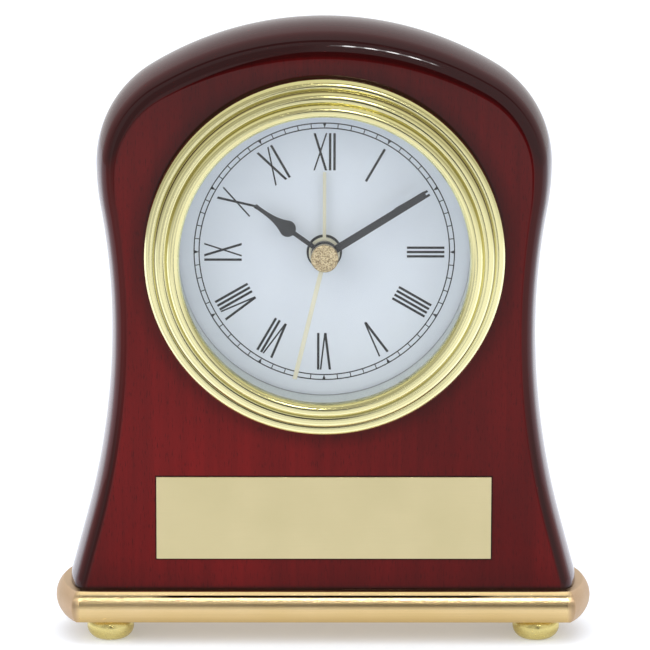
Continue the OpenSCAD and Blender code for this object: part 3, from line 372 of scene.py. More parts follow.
def wood_material():
    """Red-brown wood under gloss lacquer. The mixes go from the grain to ever more local changes, painted
    shade among them.
    """
    mat, shader, g = new_material("lacquered_wood", WOOD_MEAN, 0.45)
    shader.inputs["Specular IOR Level"].default_value = 0.02
    shader.inputs["Coat Weight"].default_value = 1.0
    shader.inputs["Coat Roughness"].default_value = LACQUER_ROUGH
    shader.inputs["Coat IOR"].default_value = LACQUER_IOR
    # Broad bands, streaks and pores, all drawn out along the height
    broad = g.noise(g.coords(WOOD_BANDS), 3, 0.55)
    streak = g.noise(g.coords(WOOD_STREAKS, (3, 1, 7)), 3, 0.6)
    pores = g.noise(g.coords(WOOD_PORES, (1, 5, 2)), 2, 0.5)
    base = g.mix(g.span(broad, 0.32, 0.68), WOOD_LIGHT, WOOD_DARK)
    base = g.mix(g.span(streak, 0.35, 0.75, 0, 0.42), base, WOOD_STREAK)
    base = g.mix(g.span(pores, 0.56, 0.72, 0, 0.55), base, WOOD_PORE)
    # Painted shade on the rounded edges, deepest where they face up
    _, turn_y, turn_z = g.normal()
    flat = g.absolute(turn_y)
    base = g.mix(g.span(flat, 0.97, 0.9996, 0.9, 0), base, WOOD_EDGE_SHADE)
    rim = g.times(g.span(turn_z, 0.004, 0.09, 0, 0.72), g.span(flat, 0.55, 0.85))
    base = g.mix(rim, base, WOOD_RIM_SHADE)
    # Slow changes: darker to the top, to the right and in the lower left corner
    x, _, z = g.place()
    base = g.mix(g.span(z, 0.10, MM * CLOCK_H, 0, 0.62), base, WOOD_TOP)
    right = g.times(g.span(x, -0.01, 0.06, 0, 0.42), g.span(z, 0.03, 0.09, 0.1, 1))
    base = g.mix(right, base, WOOD_SIDE)
    left = g.times(g.span(x, -0.03, -0.058, 0, 0.3), g.span(z, 0.055, 0.02))
    base = g.mix(left, base, WOOD_SIDE)
    # Shade on the face, close to the nameplate and to the bezel
    aside = g.absolute(x)
    above = g.absolute(g.minus(z, MM * PLATE_Z))
    off_plate = g.larger(g.minus(aside, MM * PLATE_W / 2), g.minus(above, MM * PLATE_H / 2))
    off_bezel = g.minus(g.length(aside, g.minus(z, MM * DIAL_Z)), MM * BEZEL_R)
    near = g.larger(g.span(off_plate, *PLATE_SHADE, 0.85, 0), g.span(off_bezel, 0.0, BEZEL_CREASE, 0.85, 0))
    near = g.larger(near, g.span(off_bezel, 0.0, BEZEL_SHADE, 0.45, 0))
    face = g.span(turn_y, -0.99, -0.999)
    base = g.mix(g.times(near, face), base, WOOD_SHADE)
    # Painted shade in the seam with the brass base, and a faint painted shade over it
    seam = MM * BASE_TOP
    base = g.mix(g.span(z, seam + SEAM_SHADE[0], seam + SEAM_SHADE[1], 0.9, 0), base, WOOD_SHADE)
    base = g.mix(g.span(z, seam, seam + BASE_SHADE, 0.3, 0), base, WOOD_FOOT)
    g.link(base, shader.inputs["Base Color"])
    g.bump(shader, pores, 0.06, GRAIN_DEPTH)
    return mat


BEZEL_LIGHT, BEZEL_DARK = linear((255, 250, 196)), linear((249, 242, 182))
# Both colours below are painted shade: where the bezel faces up, and in its grooves.
BEZEL_TOP_SHADE, BEZEL_GROOVE_SHADE = linear((180, 173, 118)), linear((92, 78, 30))
BEZEL_ROUGH, BEZEL_SPREAD, TURNED_RINGS = 0.15, 0.03, 9000
# Painted shade in the bezel's grooves, one row to a groove.
GROOVE_SHADES = ((GROOVES[0], 0.34, 0.95), (GROOVES[1], 0.24, 0.36))  # radius, half width, strength


def bezel_material():
    """Brass turned about the dial's axis: fine rings, with painted shade where it faces up and in its
    grooves.
    """
    mat, shader, g = new_material("bezel_brass", BEZEL_LIGHT, BEZEL_ROUGH, 1.0)
    x, y, z = g.place()
    r = g.length(x, g.minus(z, MM * DIAL_Z))
    rings = g.add("ShaderNodeCombineXYZ")
    g.link(g.times(r, TURNED_RINGS), rings.inputs["X"])
    g.link(g.times(y, TURNED_RINGS), rings.inputs["Y"])
    fine = g.noise(rings.outputs["Vector"], 2, 0.6)
    cloud = g.clouds(70)
    g.link(g.plus(g.span(fine, *NOISE, BEZEL_ROUGH - BEZEL_SPREAD, BEZEL_ROUGH + BEZEL_SPREAD),
                  g.span(cloud, *NOISE, -BEZEL_SPREAD, BEZEL_SPREAD)), shader.inputs["Roughness"])
    shade = g.mix(g.span(cloud, *NOISE, 0, 0.5), BEZEL_LIGHT, BEZEL_DARK)
    _, _, turn_z = g.normal()
    # Painted shade where the bezel faces up
    shade = g.mix(g.span(turn_z, 0.03, 0.35, 0, 0.88), shade, BEZEL_TOP_SHADE)
    # Painted shade in the grooves
    for radius, half, strength in GROOVE_SHADES:
        off = g.absolute(g.minus(r, MM * radius))
        shade = g.mix(g.span(off, 0.0, MM * half, strength, 0), shade, BEZEL_GROOVE_SHADE)
    g.link(shade, shader.inputs["Base Color"])
    g.bump(shader, fine, 0.03, MARK_DEPTH)
    return mat


BASE_LIGHT, BASE_DARK, BASE_TAN = linear((236, 209, 160)), linear((228, 200, 146)), linear((188, 160, 126))
# Of the three colours below, the second is painted shade towards the bottom and the third a painted dark
# reflection line.
BASE_MARK, BASE_LOW_SHADE, BASE_DARK_REFLECTION = linear((206, 176, 118)), linear((198, 168, 110)), linear((26, 10, 6))
REFLECTION_LINE_Z, REFLECTION_LINE_HALF, REFLECTION_LINE_SOFT = 13.3, 0.00018, 0.00036  # height in mm, half widths in metres
LEDGE_FROM, LEDGE_TO = 0.0648, 0.0662  # where the satin ends begin, metres from the middle


def base_material():
    """Brass with fine marks, painted shade towards the bottom and a painted dark reflection line along the
    front, and a satin tan on the end ledges.
    """
    mat, shader, g = new_material("base_brass", BASE_LIGHT, 0.28, 1.0)
    marks = g.noise(g.coords((14, 2600, 2600)), 3, 0.6)
    x, _, z = g.place()
    aside = g.absolute(x)
    ledge = g.span(aside, LEDGE_FROM, LEDGE_TO)
    shade = g.mix(g.span(g.clouds(55), *NOISE), BASE_LIGHT, BASE_DARK)
    shade = g.mix(g.span(marks, 0.4, 0.75, 0, 0.3), shade, BASE_MARK)
    # Painted shade towards the bottom edge
    shade = g.mix(g.span(z, 0.0105, 0.0068, 0, 0.8), shade, BASE_LOW_SHADE)
    # A painted dark reflection line along the front, weaker towards the ends
    off = g.absolute(g.minus(z, MM * REFLECTION_LINE_Z))
    reflection_line = g.times(g.span(off, REFLECTION_LINE_HALF, REFLECTION_LINE_SOFT, 1, 0), g.span(aside, 0.041, 0.046, 1, 0.5))
    shade = g.mix(reflection_line, shade, BASE_DARK_REFLECTION)
    g.link(g.mix(ledge, shade, BASE_TAN), shader.inputs["Base Color"])
    g.link(g.plus(g.span(marks, *NOISE, 0.2, 0.28), g.times(ledge, 0.24)), shader.inputs["Roughness"])
    g.bump(shader, marks, 0.03, MARK_DEPTH)
    return mat


def brushed_metal(name, color, roughness, scale, tint, strength=0.08, spread=0.08, metallic=1.0):
    """Metal brushed along one axis: scale is the number of marks a metre on each axis."""
    mat, shader, g = new_material(name, color, roughness, metallic)
    marks = g.noise(g.coords(scale), 3, 0.6)
    g.link(g.span(marks, *NOISE, roughness - spread, roughness + spread), shader.inputs["Roughness"])
    shade = g.mix(g.span(g.clouds(55), *NOISE), color, tint)
    g.link(g.mix(g.span(marks, 0.35, 0.75, 0, 0.35), shade, tint), shader.inputs["Base Color"])
    g.bump(shader, marks, strength, MARK_DEPTH)
    return mat


def grained(name, color, dark, roughness, scale=2600, strength=0.25, metallic=0.0):
    """Moulded plastic, paint or rubber with a fine grain."""
    mat, shader, g = new_material(name, color, roughness, metallic)
    grain = g.noise(g.coords((scale, scale, scale)), 3, 0.6)
    g.link(g.mix(g.span(g.clouds(90), *NOISE), color, dark), shader.inputs["Base Color"])
    g.link(g.span(grain, *NOISE, roughness - 0.06, roughness + 0.08), shader.inputs["Roughness"])
    g.bump(shader, grain, strength, GRAIN_DEPTH)
    return mat


RING_LIGHT, RING_DARK = linear((206, 211, 207)), linear((192, 198, 195))
# Both colours below are painted shade, towards the dial and in the seam with it.
RING_DEEP_SHADE, RING_CRACK_SHADE = linear((150, 156, 156)), linear((60, 60, 58))
DEEP_SHADE_BAND, CRACK_SHADE_BAND = (0.004, 0.0005), (0.0013, 0.0006)  # metres in front of the dial, from and to


def ring_material():
    """Silver plastic, with painted shade towards the dial and a darker painted shade in the seam with it.
    """
    mat, shader, g = new_material("reflector_ring", RING_LIGHT, 0.35, 0.35)
    fine = g.noise(g.coords((4000, 300, 4000)), 2, 0.5)
    _, y, _ = g.place()
    seam = MM * (FACE_Y - DIAL_FACE)
    shade = g.mix(g.span(fine, *NOISE), RING_LIGHT, RING_DARK)
    shade = g.mix(g.span(y, seam - DEEP_SHADE_BAND[0], seam - DEEP_SHADE_BAND[1], 0, 0.35), shade, RING_DEEP_SHADE)
    crack_shade = g.span(y, seam - CRACK_SHADE_BAND[0], seam - CRACK_SHADE_BAND[1], 0, 0.95)
    g.link(g.mix(crack_shade, shade, RING_CRACK_SHADE), shader.inputs["Base Color"])
    g.bump(shader, fine, 0.08, MARK_DEPTH)
    return mat


def hammered(name, color, dark):
    """Gold with a hammered, sparkling face."""
    mat, shader, g = new_material(name, color, 0.3, 0.7)
    cells = g.add("ShaderNodeTexVoronoi", feature="F1")
    cells.inputs["Scale"].default_value = 1900
    g.link(g.coords((1, 1, 1)), cells.inputs["Vector"])
    grain = g.noise(g.coords((2600, 2600, 2600)), 3, 0.7)
    g.link(g.mix(g.span(grain, 0.4, 0.62), color, dark), shader.inputs["Base Color"])
    height = g.plus(g.times(cells.outputs["Distance"], 1.2), g.times(grain, 0.5))
    g.bump(shader, height, 0.8, HAMMER_DEPTH)
    return mat


def glass_material():
    """Clear glass, a little smeared. The lamps shine through it on the dial."""
    mat, shader, g = new_material("clear_glass", (0.97, 0.985, 0.99, 1), 0.02)
    shader.inputs["Transmission Weight"].default_value = 1.0
    shader.inputs["IOR"].default_value = 1.33
    g.link(g.span(g.clouds(40), *NOISE, 0.0, 0.03), shader.inputs["Roughness"])
    path = g.add("ShaderNodeLightPath")
    clear = g.add("ShaderNodeBsdfTransparent")
    pick = g.add("ShaderNodeMixShader")
    g.link(g.larger(path.outputs["Is Shadow Ray"], path.outputs["Is Diffuse Ray"]), pick.inputs[0])
    g.link(shader.outputs[0], pick.inputs[1])
    g.link(clear.outputs[0], pick.inputs[2])
    g.link(pick.outputs[0], mat.node_tree.nodes["Material Output"].inputs["Surface"])
    return mat


WOOD = wood_material()
BEZEL = bezel_material()
PLATE = brushed_metal("plate_brass", linear((229, 215, 168)), 0.3, (90, 3000, 4200),
                      linear((221, 208, 160)), 0.004, 0.02, 0.5)
BASE_FRONT = base_material()
BASE_END = grained("base_satin", linear((200, 171, 138)), linear((190, 160, 126)), 0.5, 1800, 0.12, 0.6)
FOOT = brushed_metal("foot_brass", linear((226, 212, 150)), 0.26, (1500, 1500, 3000),
                     linear((208, 190, 116)), 0.03, 0.04)
DIAL = grained("dial_silver", linear((220, 226, 233)), linear((216, 222, 230)), 0.5, 5200, 0.1)
PRINT = grained("dial_print", linear((14, 14, 17)), linear((10, 10, 12)), 0.6, 5200, 0.1)
RING = ring_material()
GREY_HAND = grained("grey_hand", linear((24, 24, 26)), linear((18, 18, 20)), 0.42, 3600, 0.12)
CREAM_HAND = grained("cream_hand", linear((214, 210, 186)), linear((204, 200, 176)), 0.45, 3600, 0.1)
CAP = hammered("cap_gold", linear((206, 188, 150)), linear((118, 96, 62)))
BLACK = grained("black_plastic", linear((42, 42, 44)), linear((34, 34, 36)), 0.5)
RUBBER = grained("rubber", linear((26, 26, 27)), linear((22, 22, 23)), 0.75)
IVORY = grained("ivory_plastic", linear((222, 216, 196)), linear((214, 206, 184)), 0.45)
WHITE = grained("white_plastic", linear((230, 230, 226)), linear((220, 220, 214)), 0.4)
GREY = grained("grey_plastic", linear((150, 150, 152)), linear((138, 138, 140)), 0.35)
TRAIN = brushed_metal("train_brass", linear((214, 184, 110)), 0.25, (2200, 600, 2200),
                      linear((196, 160, 84)))
MAGNET = grained("magnet", linear((92, 92, 96)), linear((74, 74, 78)), 0.5, 2600, 0.3, 0.6)
STEEL = brushed_metal("plated_steel", linear((198, 198, 202)), 0.25, (1800, 1800, 1800),
                      linear((176, 176, 180)))
STATOR = brushed_metal("stator_steel", linear((160, 162, 164)), 0.35, (40, 3000, 3000),
                       linear((140, 142, 144)))
COPPER = brushed_metal("copper_wire", linear((176, 96, 56)), 0.3, (7000, 40, 40),
                       linear((140, 66, 36)), 0.6)
BOARD = grained("board_green", linear((34, 96, 64)), linear((24, 80, 52)), 0.3)
JACKET = brushed_metal("battery_jacket", linear((190, 158, 84)), 0.28, (30, 900, 900),
                       linear((170, 136, 64)))
GLASS = glass_material()

SLOT_MATERIALS = {
    "lacquered_wood": WOOD, "base_brass": BASE_END, "plate_brass": PLATE, "bezel_brass": BEZEL,
    "foot_brass": FOOT, "glass": GLASS, "reflector_ring": RING, "dial_print": DIAL,
    "grey_hand": GREY_HAND, "cream_hand": CREAM_HAND, "cap_gold": CAP, "black_plastic": BLACK,
    "rubber": RUBBER, "ivory_plastic": IVORY, "white_plastic": WHITE, "grey_plastic": GREY,
    "train_brass": TRAIN, "magnet": MAGNET, "stator_steel": STATOR, "copper_wire": COPPER,
    "board_green": BOARD, "screw_steel": STEEL, "battery_jacket": JACKET,
}
for part in frame["record"]["subparts"]:
    obj = nodes[part["node"]]
    obj.data.materials.clear()
    obj.data.materials.append(SLOT_MATERIALS[part["material_slot"]])


# The wooden block, from the same arcs as the source

def half_outline():
    """Right half from the base to the top: (x, z, outward normal x, z)."""
    shoulder_z, waist_z = CLOCK_H - SHOULDER_DROP, BASE_TOP + WAIST_RISE
    shoulder_x, waist_x = SHOULDER_W / 2, WAIST_W / 2
    swing = 2 * math.degrees(math.atan((shoulder_x - waist_x) / (shoulder_z - waist_z)))
    waist_r = (shoulder_z - waist_z) / math.sin(math.radians(swing)) - LOWER_SHOULDER_R
    corner_x = shoulder_x - SHOULDER_R
    top_r = (corner_x ** 2 + SHOULDER_DROP ** 2 - SHOULDER_R ** 2) / (2 * (SHOULDER_DROP - SHOULDER_R))
    top_turn = math.degrees(math.atan2(shoulder_z - CLOCK_H + top_r, corner_x))
    lean = math.radians(FLARE_ANGLE)
    end_x = waist_x + FLARE_R * (1 - math.cos(lean))
    end_z = waist_z - FLARE_R * math.sin(lean)
    run = end_z - BASE_TOP - TOE_R * math.sin(lean)
    toe_x = end_x + run * math.tan(lean) - TOE_R * math.cos(lean)
    out = []

    def sweep(cx, cz, r, a0, a1, steps, side, first=1):
        """Adds an arc. side is -1 where the outline is hollow."""
        for i in range(first, steps + 1):
            a = math.radians(a0 + (a1 - a0) * i / steps)
            out.append((cx + r * math.cos(a), cz + r * math.sin(a), side * math.cos(a), side * math.sin(a)))

    sweep(toe_x, BASE_TOP, TOE_R, 0, FLARE_ANGLE, TOE_STEPS, 1, 0)
    a = out[-1]
    for i in range(1, STRAIGHT_STEPS):
        t = i / STRAIGHT_STEPS
        out.append((a[0] + (end_x - a[0]) * t, a[1] + (end_z - a[1]) * t, math.cos(lean), math.sin(lean)))
    sweep(waist_x + FLARE_R, waist_z, FLARE_R, 180 + FLARE_ANGLE, 180, FLARE_STEPS, -1, 0)
    sweep(waist_x + waist_r, waist_z, waist_r, 180, 180 - swing, WAIST_STEPS, -1)
    sweep(shoulder_x - LOWER_SHOULDER_R, shoulder_z, LOWER_SHOULDER_R, -swing, 0,
          LOWER_SHOULDER_STEPS, 1)
    sweep(corner_x, shoulder_z, SHOULDER_R, 0, top_turn, SHOULDER_STEPS, 1)
    sweep(0, CLOCK_H - top_r, top_r, top_turn, 90, TOP_STEPS, 1)
    return out


def edge_rows():
    """Depth behind the face and inset from the outline, from the front round to the back round."""
    crown_r = ((CASE_T / 2) ** 2 + CROWN_BULGE ** 2) / (2 * CROWN_BULGE)
    front = math.degrees(math.asin((CASE_T / 2 - FRONT_EDGE_R) / (crown_r - FRONT_EDGE_R)))
    back = math.degrees(math.asin((CASE_T / 2 - BACK_EDGE_R) / (crown_r - BACK_EDGE_R)))
    front_inset = crown_r - (crown_r - FRONT_EDGE_R) * math.cos(math.radians(front))
    back_inset = crown_r - (crown_r - BACK_EDGE_R) * math.cos(math.radians(back))
    out = []
    for i in range(FRONT_EDGE_STEPS + 1):
        a = math.radians((90 - front) * i / FRONT_EDGE_STEPS)
        out.append((FRONT_EDGE_R * (1 - math.cos(a)), front_inset - FRONT_EDGE_R * math.sin(a)))
    for i in range(1, CROWN_STEPS + 1):
        a = math.radians(-front + (front + back) * i / CROWN_STEPS)
        out.append((CASE_T / 2 + crown_r * math.sin(a), crown_r * (1 - math.cos(a))))
    for i in range(1, BACK_EDGE_STEPS + 1):
        a = math.radians((90 - back) * (1 - i / BACK_EDGE_STEPS))
        out.append((CASE_T - BACK_EDGE_R * (1 - math.cos(a)), back_inset - BACK_EDGE_R * math.sin(a)))
    return out


def ease(z):
    """Share of the edge's rounding at a height: it grows from the waist to the top."""
    waist_z = BASE_TOP + WAIST_RISE
    return SIDE_EASE + (TOP_EASE - SIDE_EASE) * (max(0.0, z - waist_z) / (CLOCK_H - waist_z)) ** 2


def make_wood():
    """Rows of the outline from the face to the back, each inset by the edge, and the bore through them."""
    half = half_outline()
    outline = half + [(-x, z, -nx, nz) for x, z, nx, nz in reversed(half[:-1])]
    a, b = outline[-1], outline[0]
    outline += [(a[0] + (b[0] - a[0]) * i / UNDER_STEPS, BASE_TOP, 0, 0) for i in range(1, UNDER_STEPS)]
    n = len(outline)
    rows = edge_rows()
    verts = []
    for depth, inset in rows:
        for x, z, nx, nz in outline:
            if nx == 0 and nz == 0:
                reach = (abs(outline[0][0]) - inset * ease(BASE_TOP)) / abs(outline[0][0])
                verts.append(metres(x * reach, FACE_Y + depth, z))
            else:
                share = inset * ease(z)
                verts.append(metres(x - share * nx, FACE_Y + depth, z - share * nz))
    rings = len(rows)
    bores = []
    for ring_row in (0, rings - 1):
        depth = rows[ring_row][0]
        start = len(verts)
        for k in range(n):
            x, _, z = verts[ring_row * n + k]
            angle = math.degrees(math.atan2(z * M - DIAL_Z, x * M))
            bx, bz = polar(BORE_R, angle)
            verts.append(metres(bx, FACE_Y + depth, DIAL_Z + bz))
        bores.append(start)
    faces = []
    for k in range(n):
        j = (k + 1) % n
        faces.append((k, j, bores[0] + j, bores[0] + k))
        last = (rings - 1) * n
        faces.append((last + k, last + j, bores[1] + j, bores[1] + k))
        faces.append((bores[0] + k, bores[0] + j, bores[1] + j, bores[1] + k))
        for i in range(rings - 1):
            faces.append((i * n + k, i * n + j, (i + 1) * n + j, (i + 1) * n + k))
    piece("wood_block", verts, faces, WOOD, "clock", ("wooden_case",), sharp=40)


make_wood()


# The brass base: a rounded bar with bowed ends, mitred at the corners

INSIDE = 0.02  # how far the rounded edge stays inside the CAD box


def make_base():
    edge_r = ((BASE_T / 2) ** 2 + BASE_BULGE ** 2) / (2 * BASE_BULGE)
    half_t = CASE_T / 2 + BASE_LEDGE
    swell = BASE_BULGE - INSIDE
    bow_r = (half_t ** 2 + BASE_BOW ** 2) / (2 * BASE_BOW)
    end_x = BASE_W / 2 + BASE_BOW
    centre_x = end_x - bow_r
    top = math.degrees(math.asin(BASE_T / 2 / edge_r))
    levels, front_steps, end_steps = BASE_LEVELS, BASE_FRONT_STEPS, BASE_END_STEPS
    rings = []
    verts = []
    for i in range(levels + 1):
        a = math.radians(-top + 2 * top * i / levels)
        z = FOOT_H + BASE_T / 2 + edge_r * math.sin(a)
        out = swell - edge_r * (1 - math.cos(a))
        r, y = bow_r + out, half_t + out
        corner = math.degrees(math.asin(y / r))
        cx = centre_x + r * math.cos(math.radians(corner))
        ring = [(-cx + 2 * cx * k / front_steps, -y) for k in range(front_steps)]
        ring += [(centre_x + r * math.cos(math.radians(t)), r * math.sin(math.radians(t)))
                 for t in [-corner + 2 * corner * k / end_steps for k in range(end_steps)]]
        ring += [(cx - 2 * cx * k / front_steps, y) for k in range(front_steps)]
        ring += [(-centre_x - r * math.cos(math.radians(t)), r * math.sin(math.radians(t)))
                 for t in [corner - 2 * corner * k / end_steps for k in range(end_steps)]]
        rings.append(list(range(len(verts), len(verts) + len(ring))))
        verts += [metres(x, STAND_Y + yy, z) for x, yy in ring]
    n = len(rings[0])
    faces = [(rings[i][k], rings[i][(k + 1) % n], rings[i + 1][(k + 1) % n], rings[i + 1][k])
             for i in range(levels) for k in range(n)]
    ends = {i * n + k for i in range(levels) for k in range(n)
            if front_steps <= k < front_steps + end_steps or k >= 2 * front_steps + end_steps}
    faces += [tuple(rings[0]), tuple(reversed(rings[-1]))]
    piece("brass_base", verts, faces, [BASE_FRONT, BASE_END], "clock", ("base_plate",),
          sharp=25, bevel=BASE_ROUND, face_mats=lambda f: int(f.index in ends))


make_base()


# Feet, turned with a flat bottom and a sunk hole for the screw

def make_foot(name, sx, sy):
    cx, cy = sx * FOOT_SPAN_X / 2, STAND_Y + sy * FOOT_SPAN_Y / 2

    def place(x, y, z):
        return metres(cx + x, cy + y, z)

    mid = FOOT_R - FOOT_SWELL_R
    low = -math.degrees(math.asin(FOOT_FULL_H / FOOT_SWELL_R))
    high = math.degrees(math.asin((FOOT_H - FOOT_FULL_H) / FOOT_SWELL_R))
    head, shank = FOOT_HEAD_R + SLACK, FOOT_SCREW_R + SLACK
    profile = [(head, FOOT_EDGE), (head + FOOT_EDGE, 0)]
    profile += arc(mid, FOOT_FULL_H, FOOT_SWELL_R, low, high, FOOT_STEPS)
    profile += [(shank, FOOT_H), (shank, FOOT_HEAD_SEAT), (head, FOOT_HEAD_SEAT)]
    verts, faces = lathe(profile, SMALL_TURN, place)
    piece("bun_" + name, verts, faces, FOOT, "clock", (name,), sharp=40)


for name, sx, sy in (("foot_front_left", -1, -1), ("foot_front_right", 1, -1),
                     ("foot_rear_left", -1, 1), ("foot_rear_right", 1, 1)):
    make_foot(name, sx, sy)


# Nameplate, left bare

def make_plate():
    pts = [(-PLATE_W / 2, -PLATE_H / 2), (PLATE_W / 2, -PLATE_H / 2), (PLATE_W / 2, PLATE_H / 2),
           (-PLATE_W / 2, PLATE_H / 2)]
    verts, faces = prism(pts, 0, PLATE_T, lambda x, y, z: metres(x, FACE_Y - z, PLATE_Z + y))
    piece("bare_nameplate", verts, faces, PLATE, "clock", ("nameplate",),
          bevel=PLATE_ROUND, segments=3)


make_plate()


# Bezel: one turned ring with three beads, and its barrel inside the bore

def make_bezel():
    def angle(bead, p):
        return math.degrees(math.atan2(p[1] - bead[1], p[0] - bead[0]))

    outer, middle, inner = BEADS
    groove_1, groove_2 = groove(outer, middle), groove(middle, inner)
    profile = [(HOUSING_R + SLACK, -BARREL_L), (BARREL_R, -BARREL_L), (BARREL_R, 0), (BEZEL_R - RIM_IN, 0),
               (BEZEL_R - RIM_IN, RIM_T)]
    profile += arc(*outer, BEAD_START, angle(outer, groove_1), BEAD_STEPS)
    profile += arc(*middle, angle(middle, groove_1), angle(middle, groove_2), BEAD_STEPS)[1:]
    profile += arc(*inner, angle(inner, groove_2), 180, BEAD_STEPS)[1:]
    profile += [(LIP_R, LIP_Z + BEZEL_EDGE), (LIP_R + BEZEL_EDGE, LIP_Z), (SEAT_R, LIP_Z),
                (SEAT_R, DIAL_BACK), (HOUSING_R + SLACK, DIAL_BACK)]
    verts, faces = lathe(profile, BEZEL_TURN, insert)
    piece("turned_bezel", verts, faces, BEZEL, "clock", ("bezel",), sharp=38)


make_bezel()


def make_glass():
    c = GLASS_EDGE
    profile = [(0, LENS_Z), (LENS_R - c, LENS_Z), (LENS_R, LENS_Z + c), (LENS_R, LIP_Z - c),
               (LENS_R - c, LIP_Z), (0, LIP_Z)]
    verts, faces = lathe(profile, GLASS_TURN, insert, closed=False)
    piece("flat_glass", verts, faces, GLASS, "clock", ("lens",), sharp=30)


make_glass()


def make_ring():
    inner, outer, c = LENS_R - RING_T, SEAT_R - SLACK, RING_EDGE
    profile = [(inner, DIAL_FACE), (outer, DIAL_FACE), (outer, LENS_Z), (inner + c, LENS_Z),
               (inner, LENS_Z - c)]
    verts, faces = lathe(profile, RING_TURN, insert)
    piece("reflector", verts, faces, RING, "clock", ("dial_ring",), sharp=30)


make_ring()


# Dial print: the minute track and plain Roman numerals, tops outward

PRINT_LOW, PRINT_HIGH = DIAL_FACE - 0.01, DIAL_FACE + 0.03
TRACK_OUT, TRACK_IN, TRACK_LINE, TICK_W, WEDGE_W = 34.38, 33.06, 0.3, 0.24, 0.94
NUM_IN, NUM_OUT = 21.8, 31.7
THICK, THIN, BAR_STEP = 0.64, 0.42, 1.16
X_W, V_W, V_SHIFT, V_SPLIT, CLOSER = 3.66, 3.0, 0.1, 0.05, 0.1
NUMERALS = ["XII", "I", "II", "III", "IIII", "V", "VI", "VII", "VIII", "IX", "X", "XI"]


def on_dial(angle):
    """Places a mark or hand drawn upright at twelve: x to the right, y outward."""
    s, c = math.sin(math.radians(angle)), math.cos(math.radians(angle))
    return lambda x, y, z: insert(x * c + y * s, -x * s + y * c, z)


def stroke(x_in, x_out, w):
    """A stroke from the inner to the outer line of the numerals, given its middle at both ends."""
    return [(x_in - w / 2, NUM_IN), (x_in + w / 2, NUM_IN),
            (x_out + w / 2, NUM_OUT), (x_out - w / 2, NUM_OUT)]


def numeral_strokes(text):
    """Strokes of one numeral, centred on x = 0."""
    out, x = [], 0.0
    for ch in text:
        if ch == "I":
            out.append(stroke(x + THICK / 2, x + THICK / 2, THICK))
            x += BAR_STEP
        elif ch == "X":
            out.append(stroke(x + X_W - THICK / 2, x + THICK / 2, THICK))
            out.append(stroke(x + THIN / 2, x + X_W - THIN / 2, THIN))
            x += X_W + BAR_STEP - THICK - CLOSER
        elif ch == "V":
            mid = x + V_W / 2 + V_SHIFT
            out.append(stroke(mid - V_SPLIT, x + THICK / 2, THICK))
            out.append(stroke(mid + V_SPLIT, x + V_W - THIN / 2, THIN))
            x += V_W + V_SHIFT
    xs = [p[0] for s in out for p in s]
    shift = (min(xs) + max(xs)) / 2
    return [[(px - shift, py) for px, py in s] for s in out]


def make_print():
    z0, z1 = PRINT_LOW, PRINT_HIGH
    shapes = []
    for i, text in enumerate(NUMERALS):
        for s in numeral_strokes(text):
            shapes.append(prism(s, z0, z1, on_dial(30 * i)))
    for k in range(60):
        place = on_dial(6 * k)
        if k % 5 == 0:
            w = WEDGE_W / 2
            mark = [(-w, TRACK_OUT), (0, TRACK_IN), (w, TRACK_OUT)]
        else:
            w = TICK_W / 2
            mark = [(-w, TRACK_IN), (w, TRACK_IN), (w, TRACK_OUT), (-w, TRACK_OUT)]
        shapes.append(prism(mark, z0, z1, place))
    for r in (TRACK_IN, TRACK_OUT):
        low, high = r - TRACK_LINE / 2, r + TRACK_LINE / 2
        shapes.append(lathe([(low, z0), (high, z0), (high, z1), (low, z1)], TRACK_TURN, insert))
    verts, faces = join(shapes)
    piece("printed_dial_marks", verts, faces, PRINT, "clock", sharp=30)


make_print()


# Hands

# Hubs: radius, bore, and how far they reach below and above the hand's plane
HOUR_HUB, MINUTE_HUB, ALARM_HUB = (3.55, 1.67, 0.8, 1.2), (3.3, 1.02, 0.8, 1), (4.1, 2.27, 1, 0.9)
# Blades: width at the start and at the tip, where they start, and their length
MINUTE_BLADE, ALARM_BLADE = (2, 1.9, 2.8, 31.2), (0.9, 0.9, 3.6, 21.6)
SECOND_BLADE = (1.15, 1.15, 0.5, 33.5)


def make_hub(name, body, mat, size, z, node):
    """A ring with chamfered edges."""
    r, bore, below, above = size
    z0, z1, c = z - below, z + above, HUB_EDGE
    profile = [(bore, z0), (r - c, z0), (r, z0 + c), (r, z1 - c), (r - c, z1), (bore, z1)]
    verts, faces = lathe(profile, SMALL_TURN, insert)
    piece(name, verts, faces, mat, body, (node,), sharp=30)


def make_hour_hand():
    """A stem, a pear, and a concave point that flares a little at its tip."""
    pear_r, pear_y, pear_end, pear_steps, length = 2.18, 11.9, 32, 24, 22.4
    stem, stem_start, stem_gap = 0.6, 3.0, 0.5
    neck, neck_end, hollow, steps, tip, tip_l = 0.52, 1.2, 2.9, 14, 0.64, 1.1
    low = -math.degrees(math.acos(stem / pear_r))
    right = [(stem, stem_start), (stem, pear_y - math.sqrt(pear_r ** 2 - stem ** 2) - stem_gap)]
    right += arc(0, pear_y, pear_r, low, pear_end, pear_steps)
    start_x, start_y = right[-1]
    for i in range(1, steps + 1):
        t = i / steps
        y = start_y + (length - neck_end - start_y) * t
        right.append((neck + (start_x - neck) * (1 - t) ** hollow, y))
    right += [(neck, length - tip_l), (tip, length)]
    pts = right + [(-x, y) for x, y in reversed(right)]
    verts, faces = prism(pts, HOUR_Z, HOUR_Z + HAND_T, on_dial(HOUR_ANGLE))
    piece("hour_blade", verts, faces, GREY_HAND, "hour_train", bevel=HAND_ROUND)


def make_blade(name, body, mat, size, z, angle, node=()):
    """A straight hand."""
    w0, w1, start, length = size
    pts = [(-w0 / 2, start), (w0 / 2, start), (w1 / 2, length), (-w1 / 2, length)]
    verts, faces = prism(pts, z, z + HAND_T, on_dial(angle))
    piece(name, verts, faces, mat, body, node, bevel=HAND_ROUND)


